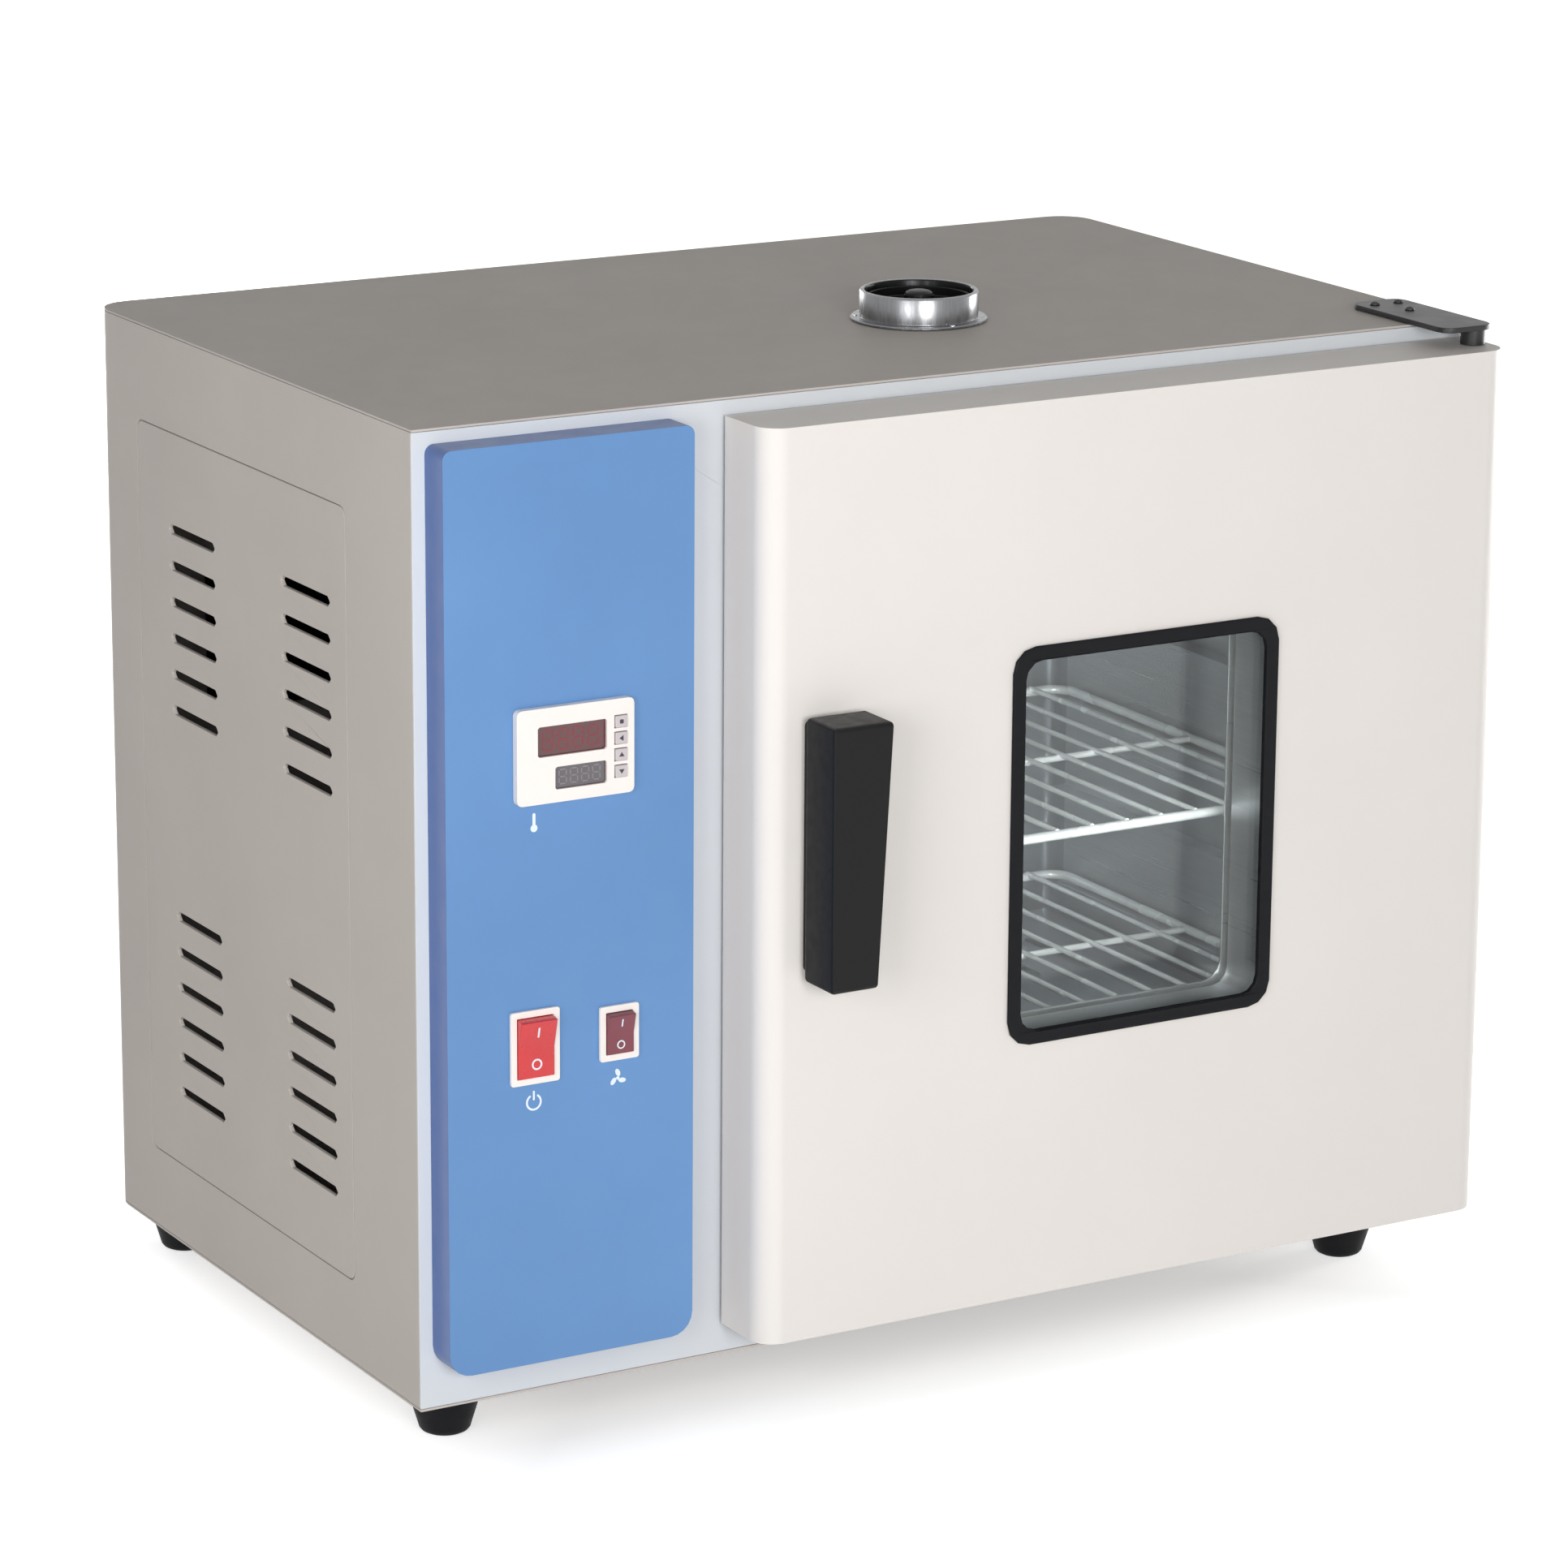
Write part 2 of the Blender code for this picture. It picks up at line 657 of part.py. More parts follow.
def turned(name, profile, location, axis=FACING_UP, look=None, sides=HOLE_SIDES, closed=False):
    """Solid turned about its own Z axis from a profile of (radius, height) points."""
    bm = bmesh.new()
    verts = [bm.verts.new((radius, 0.0, height)) for radius, height in profile]
    pairs = list(zip(verts, verts[1:]))
    if closed:
        pairs.append((verts[-1], verts[0]))
    for pair in pairs:
        bm.edges.new(pair)
    mesh = bpy.data.meshes.new(name)
    bm.to_mesh(mesh)
    bm.free()
    item = place(name, mesh, location, axis, look)
    screw = item.modifiers.new("turned", "SCREW")
    screw.steps = sides
    screw.render_steps = sides
    screw.use_merge_vertices = True
    screw.merge_threshold = MERGE
    screw.use_smooth_shade = False
    return item


def rod(name, start, length, radius, axis=FACING_UP, look=None, sides=HOLE_SIDES):
    """Straight round bar from its start along its axis."""
    bm = bmesh.new()
    bmesh.ops.create_cone(bm, cap_ends=True, segments=sides, radius1=radius, radius2=radius,
                          depth=length, matrix=Matrix.Translation((0.0, 0.0, length / 2)))
    return place(name, mesh_from(bm, name), start, axis, look)


def combine(target, tool, operation):
    """Boolean of a target with a tool, which becomes a cutter."""
    modifier = target.modifiers.new(tool.name, "BOOLEAN")
    modifier.operation = operation
    modifier.object = tool
    return target


def cut(target, *tools):
    """Take each tool's shape out of the target."""
    for tool in tools:
        combine(target, tool, "DIFFERENCE")
    return target


def add(target, *tools):
    """Join each tool's shape to the target."""
    for tool in tools:
        combine(target, tool, "UNION")
    return target


def soften(item, width, steps=2, angle=40.0):
    """Round the sharp edges of a solid."""
    bevel = item.modifiers.new("soft_edges", "BEVEL")
    bevel.width = width
    bevel.segments = steps
    bevel.limit_method = "ANGLE"
    bevel.angle_limit = math.radians(angle)
    return item


def carry(name, location, pieces, carrier=None):
    """Empty on a joint's axis that carries its pieces."""
    empty = bpy.data.objects.new(name, None)
    empty.location = location
    PARTS.objects.link(empty)
    bpy.context.view_layer.update()
    for piece in pieces:
        piece.parent = empty
        piece.matrix_parent_inverse = empty.matrix_world.inverted()
    if carrier:
        empty.parent = carrier
        empty.matrix_parent_inverse = carrier.matrix_world.inverted()
    return empty


def rear_upright(middle, run):
    """Pick the upright edges at the back of a box."""
    return abs(run.z) > 0 and middle.y > 0


def front_upright(middle, run):
    """Pick the upright edges at the front of a box."""
    return abs(run.z) > 0 and middle.y < 0


def all_but_front(middle, run):
    """Pick every edge of a box apart from those round its front."""
    return abs(run.y) > 0 or middle.y > 0


def plan_outline(inset):
    """The body seen from above, square in front and round behind."""
    radius = REAR_RADIUS - inset
    left, right = LEFT + inset, RIGHT - inset
    front, back = FRONT + inset, BACK - inset
    return ([(left, front), (right, front)]
            + arc((right - radius, back - radius), radius, 0, 90)
            + arc((left + radius, back - radius), radius, 90, 180))


def flange_ring(name, low, high):
    """Folded rim that runs round inside the walls between two heights."""
    return flat(name, [plan_outline(SKIN), plan_outline(SKIN + SHEET)], high - low,
                (0.0, 0.0, (low + high) / 2))


def slot_grid(columns, rows, length, height):
    """Outlines of slots at each column and row."""
    return [oblong((column, row), length, height, 2) for column in columns for row in rows]


def spread(middle, pitch, count):
    """Places in a row, evenly about its middle."""
    return [middle + pitch * (index - (count - 1) / 2) for index in range(count)]


def make_cabinet():
    """Wrap, base, top, fascia, partition and the two removable covers."""
    wrap = tray("outer_wrap", (LEFT, FRONT + SKIN, BOTTOM + SKIN), (RIGHT, BACK, TOP - SKIN),
                [(0, -1, 0), (0, 0, 1), (0, 0, -1)], SHEET, "cabinet_paint",
                round_edges=rear_upright, radius=REAR_RADIUS, steps=ROUND_STEPS)

    base = flat("base_pan", [plan_outline(0.0)], SHEET, (0.0, 0.0, BOTTOM + SHEET / 2),
                look="cabinet_paint")
    add(base, flange_ring("base_flange", BOTTOM + SHEET / 2, BOTTOM + FLANGE))

    top = flat("top_cover", [plan_outline(0.0)], SHEET, (0.0, 0.0, TOP - SHEET / 2),
               look="cabinet_paint")
    add(top, flange_ring("top_flange", TOP - FLANGE, TOP - SHEET / 2))

    mouth_centre = ((CHAMBER_LEFT + CHAMBER_RIGHT) / 2, (CHAMBER_BOTTOM + CHAMBER_TOP) / 2)
    mouth = rounded(mouth_centre, CHAMBER_WIDTH, CHAMBER_HEIGHT, CHAMBER_RADIUS)
    panel_left = LEFT + PANEL_MARGIN_LEFT
    access = rectangle((panel_left + PANEL_BACK_LAP, BOTTOM + PANEL_MARGIN_BOTTOM + PANEL_BACK_LAP),
                       (panel_left + PANEL_WIDTH - PANEL_BACK_LAP,
                        TOP - PANEL_MARGIN_TOP - PANEL_BACK_LAP))
    fascia = flat("front_frame",
                  [rectangle((LEFT, BOTTOM + SKIN), (RIGHT, TOP - SKIN)), mouth, access,
                   latch_slot(SHEET)],
                  SHEET, (0.0, FRONT + SHEET / 2, 0.0), FACING_FRONT, "door_paint")
    rim_low, rim_high = BOTTOM + FLANGE + GAP, TOP - FLANGE - GAP
    rim_depth = FLANGE - SHEET / 2
    rim = flat("fascia_rim",
               [rectangle((LEFT + SKIN, rim_low), (RIGHT - SKIN, rim_high)),
                rectangle((LEFT + SKIN + SHEET, rim_low + SHEET),
                          (RIGHT - SKIN - SHEET, rim_high - SHEET))],
               rim_depth, (0.0, FRONT + SHEET / 2 + rim_depth / 2, 0.0), FACING_FRONT)
    add(fascia, rim)

    partition = box("partition",
                    (PARTITION_X - PARTITION_SHEET / 2, FRONT + FLANGE + GAP, BOTTOM + SKIN),
                    (PARTITION_X + PARTITION_SHEET / 2, BACK - 2 * SKIN, TOP - SKIN),
                    "zinc_plate")
    make_side_cover(wrap)
    make_rear_cover(wrap)
    return wrap, top, partition


def make_side_cover(wrap):
    """Slotted cover, flush in the left wall on a lapped rim."""
    middle = (FRONT + COVER_FRONT + COVER_LENGTH / 2, BOTTOM + COVER_BOTTOM + COVER_HEIGHT / 2)
    columns = [FRONT + COVER_FRONT + COVER_LENGTH * share for share in SLOT_COLUMN_SHARES]
    rows = []
    for share in SLOT_GROUP_SHARES:
        group = BOTTOM + COVER_BOTTOM + COVER_HEIGHT * share
        rows += spread(group, SLOT_PITCH, SLOT_ROWS)
    face_depth = SKIN + COVER_RIM_SHEET
    cover = flat("side_cover",
                 [rounded(middle, COVER_LENGTH, COVER_HEIGHT, COVER_RADIUS)]
                 + slot_grid(columns, rows, SLOT_LENGTH, SLOT_HEIGHT),
                 face_depth, (LEFT + face_depth / 2, 0.0, 0.0), FACING_SIDE, "cabinet_paint")
    lap = 2 * COVER_RIM
    rim = flat("cover_rim",
               [rounded(middle, COVER_LENGTH + lap, COVER_HEIGHT + lap, COVER_RADIUS),
                rounded(middle, COVER_LENGTH - COVER_RIM, COVER_HEIGHT - COVER_RIM, COVER_RADIUS)],
               COVER_RIM_SHEET, (LEFT + SKIN + COVER_RIM_SHEET / 2, 0.0, 0.0), FACING_SIDE)
    add(cover, rim)
    opening = flat("cover_opening",
                   [rounded(middle, COVER_LENGTH + 2 * COVER_SEAM, COVER_HEIGHT + 2 * COVER_SEAM,
                            COVER_RADIUS)],
                   SHEET + 2 * OVERRUN, (LEFT + SHEET / 2, 0.0, 0.0), FACING_SIDE)
    cut(wrap, opening)


def make_rear_cover(wrap):
    """Slotted access cover on the back, with the mains inlet and a fuse holder."""
    low = (LEFT + REAR_COVER_LEFT, BOTTOM + REAR_COVER_BOTTOM)
    high = (low[0] + REAR_COVER_WIDTH, low[1] + REAR_COVER_HEIGHT)
    middle_x = (low[0] + high[0]) / 2
    rows = spread(low[1] + REAR_COVER_HEIGHT * REAR_SLOTS_SHARE, REAR_SLOT_PITCH, REAR_SLOT_ROWS)
    inlet_z = low[1] + INLET_RISE
    fuse_z = low[1] + FUSE_RISE
    face_y = BACK + GAP + SHEET
    half_width = INLET_BODY_WIDTH / 2 + GAP
    half_height = INLET_HEIGHT / 2 - INLET_WALL + GAP
    inlet_hole = rectangle((middle_x - half_width, inlet_z - half_height),
                           (middle_x + half_width, inlet_z + half_height))
    flat("rear_cover",
         [rectangle(low, high), inlet_hole, circle((middle_x, fuse_z), FUSE_BODY_RADIUS + GAP)]
         + slot_grid([middle_x], rows, REAR_SLOT_LENGTH, REAR_SLOT_HEIGHT),
         SHEET, (0.0, face_y - SHEET / 2, 0.0), FACING_FRONT, "cabinet_paint")
    opening = box("rear_opening",
                  (low[0] + REAR_COVER_LAP, BACK - SHEET - OVERRUN, low[1] + REAR_COVER_LAP),
                  (high[0] - REAR_COVER_LAP, BACK + OVERRUN, high[1] - REAR_COVER_LAP))
    cut(wrap, opening)
    make_inlet(middle_x, inlet_z, face_y + GAP)
    fuse_start = face_y + GAP + FUSE_CAP_REACH
    profile = [(0.0, 0.0), (FUSE_CAP_RADIUS, 0.0), (FUSE_CAP_RADIUS, -FUSE_CAP_REACH),
               (FUSE_BODY_RADIUS, -FUSE_CAP_REACH), (FUSE_BODY_RADIUS, -FUSE_BODY_DEPTH),
               (0.0, -FUSE_BODY_DEPTH)]
    turned("fuse_holder", profile, (middle_x, fuse_start, fuse_z),
           (-math.pi / 2, 0.0, 0.0), "black_plastic", FUSE_SIDES)


def make_inlet(x, z, face_y):
    """Mains inlet: a flange outside the cover, a body behind it and three pins inside."""
    half_body = (INLET_BODY_WIDTH / 2, INLET_HEIGHT / 2 - INLET_WALL)
    inlet = flat("power_inlet", [rounded((x, z), INLET_WIDTH, INLET_HEIGHT, INLET_RADIUS)],
                 INLET_FLANGE, (0.0, face_y + INLET_FLANGE / 2, 0.0), FACING_FRONT,
                 "black_plastic")
    body = box("inlet_body",
               (x - half_body[0], face_y - INLET_BODY_DEPTH, z - half_body[1]),
               (x + half_body[0], face_y + INLET_FLANGE / 2, z + half_body[1]))
    outer = face_y + INLET_FLANGE
    socket = box("inlet_socket",
                 (x - INLET_SOCKET_WIDTH / 2, outer - INLET_SOCKET_DEPTH, z - INLET_SOCKET_HEIGHT / 2),
                 (x + INLET_SOCKET_WIDTH / 2, outer + OVERRUN, z + INLET_SOCKET_HEIGHT / 2))
    add(inlet, body)
    cut(inlet, socket)
    pin_end = outer - INLET_SOCKET_DEPTH - INLET_WALL / 2
    for index, (shift, level) in enumerate(((-1, 0), (0, 1), (1, 0))):
        pin_x, pin_z = x + shift * PIN_PITCH, z + level * PIN_HEIGHT - PIN_HEIGHT / 2
        pin = box("inlet_pin_%d" % index,
                  (pin_x - PIN_WIDTH / 2, pin_end, pin_z - PIN_HEIGHT / 2),
                  (pin_x + PIN_WIDTH / 2, pin_end + PIN_REACH, pin_z + PIN_HEIGHT / 2))
        add(inlet, pin)


def make_chamber(partition):
    """Liner, insulation, seal, floor plate, heater and the probe."""
    low = (CHAMBER_LEFT, CHAMBER_FRONT, CHAMBER_BOTTOM)
    high = (CHAMBER_RIGHT, CHAMBER_BACK, CHAMBER_TOP)
    liner = tray("inner_chamber", low, high, [(0, -1, 0)], LINER, "stainless", outward=True,
                 round_edges=all_but_front, radius=CHAMBER_RADIUS)

    wool = box("chamber_insulation",
               (PARTITION_X + PARTITION_SHEET / 2 + GAP, FRONT + FLANGE + GAP, BOTTOM + SKIN),
               (RIGHT - 2 * SKIN, BACK - 2 * SKIN, TOP - SKIN), "glass_wool",
               lambda middle, run: rear_upright(middle, run) and middle.x > 0,
               REAR_RADIUS - 2 * SKIN, ROUND_STEPS)
    around = LINER + GAP
    hollow = box("liner_space",
                 (low[0] - around, FRONT, low[2] - around),
                 (high[0] + around, high[1] + around, high[2] + around), None,
                 all_but_front, CHAMBER_RADIUS + around)
    cut(wool, hollow)

    centre = ((CHAMBER_LEFT + CHAMBER_RIGHT) / 2, (CHAMBER_BOTTOM + CHAMBER_TOP) / 2)
    inner = 2 * SEAL_MARGIN
    outer = inner + 2 * SEAL_WIDTH
    seal = flat("door_seal",
                [rounded(centre, CHAMBER_WIDTH + outer, CHAMBER_HEIGHT + outer,
                         CHAMBER_RADIUS + SEAL_MARGIN + SEAL_WIDTH),
                 rounded(centre, CHAMBER_WIDTH + inner, CHAMBER_HEIGHT + inner,
                         CHAMBER_RADIUS + SEAL_MARGIN)],
                DOOR_STANDOFF - 2 * GAP, (0.0, FRONT - DOOR_STANDOFF / 2, 0.0), FACING_FRONT,
                "silicone")
    soften(seal, SEAL_ROUNDING, 1)
    make_floor()
    make_heater()
    probe_z = CHAMBER_TOP - PROBE_TOP_MARGIN
    probe_y = FAN_Y
    probe_left = PARTITION_X - PROBE_TAIL
    nut_start = CHAMBER_LEFT + GAP - probe_left
    probe_end = CHAMBER_LEFT + PROBE_REACH - probe_left
    profile = [(0.0, probe_end), (PROBE_RADIUS, probe_end - PROBE_RADIUS / 2),
               (PROBE_RADIUS, nut_start + PROBE_NUT_THICKNESS),
               (PROBE_NUT_RADIUS, nut_start + PROBE_NUT_THICKNESS),
               (PROBE_NUT_RADIUS, nut_start), (PROBE_RADIUS, nut_start),
               (PROBE_RADIUS, 0.0), (0.0, 0.0)]
    turned("temperature_probe", profile, (probe_left, probe_y, probe_z), AXIS_X,
           "bright_steel", PROBE_SIDES)
    hole = rod("probe_hole", (probe_left, probe_y, probe_z),
               CHAMBER_LEFT + OVERRUN - probe_left, PROBE_HOLE_RADIUS, AXIS_X)
    for piece in (liner, wool, partition):
        cut(piece, hole)
    return liner, wool


def make_floor():
    """Slotted plate that stands on its front and rear folds over the heater."""
    inset = CHAMBER_RADIUS + FLOOR_CLEARANCE
    low = (CHAMBER_LEFT + inset, CHAMBER_FRONT + FLOOR_CLEARANCE, CHAMBER_BOTTOM + GAP)
    high = (CHAMBER_RIGHT - inset, CHAMBER_BACK - inset, CHAMBER_BOTTOM + FLOOR_HEIGHT)
    floor = tray("chamber_floor", low, high, [(1, 0, 0), (-1, 0, 0), (0, 0, -1)], LINER,
                 "stainless")
    middle_x, middle_y = (low[0] + high[0]) / 2, (low[1] + high[1]) / 2
    row_gap = (high[1] - low[1]) * FLOOR_SLOT_ROW_SHARE
    pitch = (high[0] - low[0] - 2 * FLOOR_SLOT_MARGIN) / (FLOOR_SLOT_COUNT - 1)
    for index, row in enumerate(spread(middle_y, row_gap, 2)):
        for number, column in enumerate(spread(middle_x, pitch, FLOOR_SLOT_COUNT)):
            slot = flat("floor_slot_%d_%d" % (index, number),
                        [oblong((row, -column), FLOOR_SLOT_LENGTH, FLOOR_SLOT_WIDTH, 2)],
                        2 * OVERRUN, (0.0, 0.0, high[2]), (0.0, 0.0, math.pi / 2))
            cut(floor, slot)


def make_heater():
    """Serpentine tube whose two ends sit in a flange on the left wall."""
    z = CHAMBER_BOTTOM + HEATER_RISE
    start_x = CHAMBER_LEFT + GAP + HEATER_FLANGE_SHEET / 2
    bend = HEATER_PITCH / 2
    near_x = CHAMBER_LEFT + HEATER_END_MARGIN + bend
    far_x = CHAMBER_RIGHT - HEATER_END_MARGIN - bend
    middle_y = (CHAMBER_FRONT + CHAMBER_BACK) / 2
    runs = spread(middle_y, HEATER_PITCH, HEATER_RUNS)
    points = [(start_x, runs[0], z)]
    for index, run in enumerate(runs[:-1]):
        turn_y = run + bend
        if index % 2 == 0:
            ends = arc((far_x, turn_y), bend, -90, 90)
        else:
            ends = arc((near_x, turn_y), bend, 270, 90)
        points += [(x, y, z) for x, y in ends]
    points.append((start_x, runs[-1], z))
    heater = tube("heater_element", points, HEATER_RADIUS, "heater_steel")
    flange = box("heater_flange",
                 (CHAMBER_LEFT + GAP, runs[0] - HEATER_FLANGE_MARGIN, z - HEATER_FLANGE_HALF_HEIGHT),
                 (CHAMBER_LEFT + GAP + HEATER_FLANGE_SHEET, runs[-1] + HEATER_FLANGE_MARGIN,
                  z + HEATER_FLANGE_HALF_HEIGHT))
    add(heater, flange)


def make_duct():
    """Sheet over the fan with a round intake and rows of outlet slots."""
    low = (CHAMBER_LEFT + GAP, FRONT + DUCT_FRONT_MARGIN,
           CHAMBER_BOTTOM + FLOOR_HEIGHT + FLOOR_CLEARANCE)
    high = (DUCT_FACE, CHAMBER_BACK - CHAMBER_RADIUS - FLOOR_CLEARANCE,
            CHAMBER_TOP - DUCT_TOP_MARGIN)
    duct = tray("duct_panel", low, high, [(-1, 0, 0)], LINER, "stainless",
                round_edges=lambda middle, run: abs(run.x) > 0, radius=DUCT_RADIUS, steps=2)
    middle_y = (low[1] + high[1]) / 2
    slots = []
    pitch = (high[1] - low[1]) * DUCT_SLOT_PITCH_SHARE
    length = pitch * DUCT_SLOT_LENGTH_SHARE
    for level in (low[2] + DUCT_SLOT_MARGIN, high[2] - DUCT_SLOT_MARGIN):
        for column in spread(middle_y, pitch, DUCT_SLOT_COUNT):
            slots.append(oblong((column, level), length, DUCT_SLOT_WIDTH, 2))
    slot_middle = (INTAKE_INNER_RADIUS + INTAKE_OUTER_RADIUS) / 2
    slot_length = INTAKE_OUTER_RADIUS - INTAKE_INNER_RADIUS
    for index in range(INTAKE_SLOT_COUNT):
        turn = Matrix.Rotation(math.tau * index / INTAKE_SLOT_COUNT, 2)
        shape = oblong((slot_middle, 0.0), slot_length, INTAKE_SLOT_WIDTH, 2)
        turned_shape = [turn @ Vector(point) for point in shape]
        slots.append([(point.x + FAN_Y, point.y + FAN_Z) for point in turned_shape])
    for index, slot in enumerate(slots):
        cut(duct, flat("duct_slot_%d" % index, [slot], 2 * OVERRUN, (high[0], 0.0, 0.0),
                       FACING_SIDE))


def blade_outline(index):
    """Crescent of one forward-curved blade, from the eye to the rim."""
    start = 360.0 * index / FAN_BLADES
    inner, outer = [], []
    for step in range(BLADE_STEPS + 1):
        part = step / BLADE_STEPS
        radius = FAN_EYE_RADIUS + (FAN_RADIUS - BLADE_SHEET - FAN_EYE_RADIUS) * part
        angle = math.radians(start + BLADE_SWEEP * part * part)
        half = BLADE_SHEET / (2 * radius)
        inner.append((radius * math.cos(angle - half), radius * math.sin(angle - half)))
        outer.append((radius * math.cos(angle + half), radius * math.sin(angle + half)))
    return inner + outer[::-1]


def make_fan(liner, wool, partition):
    """Impeller and shaft, the motor on its mount, and the holes for the shaft."""
    back_x = CHAMBER_LEFT + FAN_WALL_CLEARANCE
    impeller = flat("fan_impeller", [circle((0.0, 0.0), FAN_RADIUS, FAN_SIDES)], FAN_PLATE,
                    (back_x + FAN_PLATE / 2, FAN_Y, FAN_Z), FACING_SIDE, "aluminium")
    blades = flat("fan_blades", [blade_outline(index) for index in range(FAN_BLADES)],
                  FAN_WIDTH - FAN_PLATE, (back_x + FAN_WIDTH / 2, FAN_Y, FAN_Z), FACING_SIDE)
    ring = flat("fan_ring", [circle((0.0, 0.0), FAN_RADIUS, FAN_SIDES),
                             circle((0.0, 0.0), FAN_EYE_RADIUS, FAN_SIDES)],
                FAN_PLATE, (back_x + FAN_WIDTH - FAN_PLATE / 2, FAN_Y, FAN_Z), FACING_SIDE)
    hub = rod("fan_hub", (back_x + FAN_PLATE / 2, FAN_Y, FAN_Z), HUB_LENGTH, HUB_RADIUS, AXIS_X)
    add(impeller, blades, ring, hub)

    mount_x = PARTITION_X - PARTITION_SHEET / 2 - GAP
    motor_x = mount_x - MOUNT_SHEET - MOUNT_RING_HEIGHT - GAP
    shaft_start = motor_x - SHAFT_BURIED
    shaft_length = back_x + FAN_PLATE + HUB_LENGTH / 2 - shaft_start
    add(impeller, rod("fan_shaft", (shaft_start, FAN_Y, FAN_Z), shaft_length, SHAFT_RADIUS,
                      AXIS_X, sides=SHAFT_SIDES))
    hole = rod("shaft_hole", (mount_x - MOUNT_SHEET - OVERRUN, FAN_Y, FAN_Z),
               back_x - mount_x + OVERRUN, SHAFT_HOLE_RADIUS, AXIS_X)
    for piece in (liner, wool, partition):
        cut(piece, hole)

    mount = flat("motor_mount", [rounded((FAN_Y, FAN_Z), MOUNT_SIZE, MOUNT_SIZE, HUB_RADIUS),
                                 circle((FAN_Y, FAN_Z), MOUNT_RING_RADIUS - MOUNT_SHEET)],
                 MOUNT_SHEET, (mount_x - MOUNT_SHEET / 2, 0.0, 0.0), FACING_SIDE, "zinc_plate")
    ring_depth = MOUNT_RING_HEIGHT + MOUNT_SHEET / 2
    collar = flat("mount_collar", [circle((FAN_Y, FAN_Z), MOUNT_RING_RADIUS),
                                   circle((FAN_Y, FAN_Z), MOUNT_RING_RADIUS - MOUNT_SHEET)],
                  ring_depth, (mount_x - MOUNT_SHEET / 2 - ring_depth / 2, 0.0, 0.0), FACING_SIDE)
    add(mount, collar)

    bore = SHAFT_RADIUS + MOTOR_BEARING_CLEARANCE
    bore_depth = SHAFT_BURIED + MOTOR_BEARING_CLEARANCE
    belly = MOTOR_LENGTH - MOTOR_END_LENGTH
    profile = [(0.0, -bore_depth), (bore, -bore_depth), (bore, 0.0),
               (MOUNT_RING_RADIUS, 0.0), (MOTOR_RADIUS, -MOTOR_END_LENGTH),
               (MOTOR_RADIUS, -belly), (MOTOR_END_RADIUS, -MOTOR_LENGTH), (0.0, -MOTOR_LENGTH)]
    turned("fan_motor", profile, (motor_x, FAN_Y, FAN_Z), AXIS_X, "motor_steel", MOTOR_SIDES)
    carry("fan_axis", (back_x, FAN_Y, FAN_Z), [impeller])


def make_racks_and_shelves():
    """A rack of folded ledges on each side and wire shelves that rest on them."""
    rack_low = CHAMBER_BOTTOM + RACK_RISE
    start_y = FRONT + RACK_FRONT_MARGIN
    ledges = [rack_low + RACK_PITCH * level for level in range(RACK_LEVELS)]
    for name, wall_x, side in (("shelf_rack_left", DUCT_FACE + GAP, 1),
                               ("shelf_rack_right", CHAMBER_RIGHT - GAP, -1)):
        outline = [(wall_x, rack_low), (wall_x, rack_low + RACK_HEIGHT),
                   (wall_x + side * RACK_SHEET, rack_low + RACK_HEIGHT)]
        for ledge in reversed(ledges):
            outline += [(wall_x + side * RACK_SHEET, ledge + RACK_SHEET),
                        (wall_x + side * RACK_LEDGE, ledge + RACK_SHEET),
                        (wall_x + side * RACK_LEDGE, ledge)]
            if ledge > rack_low:
                outline.append((wall_x + side * RACK_SHEET, ledge))
        flat(name, [outline], RACK_LENGTH, (0.0, start_y + RACK_LENGTH / 2, 0.0), FACING_FRONT,
             "stainless")

    left = DUCT_FACE + GAP + RACK_SHEET + SHELF_SIDE_CLEARANCE + SHELF_ROD_RADIUS
    right = CHAMBER_RIGHT - GAP - RACK_SHEET - SHELF_SIDE_CLEARANCE - SHELF_ROD_RADIUS
    front = start_y + SHELF_ROD_RADIUS
    back = start_y + RACK_LENGTH - SHELF_ROD_RADIUS
    for name, level in zip(("shelf_lower", "shelf_upper"), SHELF_LEVELS):
        z = ledges[level] + RACK_SHEET + GAP + SHELF_ROD_RADIUS
        middle = ((left + right) / 2, (front + back) / 2)
        loop = rounded(middle, right - left, back - front, SHELF_CORNER_RADIUS)
        shelf = tube(name, [(x, y, z) for x, y in loop], SHELF_ROD_RADIUS, "bright_steel",
                     closed=True)
        wire_z = z + SHELF_ROD_RADIUS - SHELF_WIRE_RADIUS / 2
        pitch = (right - left) / (SHELF_WIRE_COUNT + 1)
        for index, x in enumerate(spread(middle[0], pitch, SHELF_WIRE_COUNT)):
            wire = tube("%s_wire_%d" % (name, index), [(x, front, wire_z), (x, back, wire_z)],
                        SHELF_WIRE_RADIUS)
            add(shelf, wire)
        stay = tube("%s_stay" % name, [(left, middle[1], z), (right, middle[1], z)],
                    SHELF_ROD_RADIUS - SHELF_WIRE_RADIUS / 2)
        add(shelf, stay)


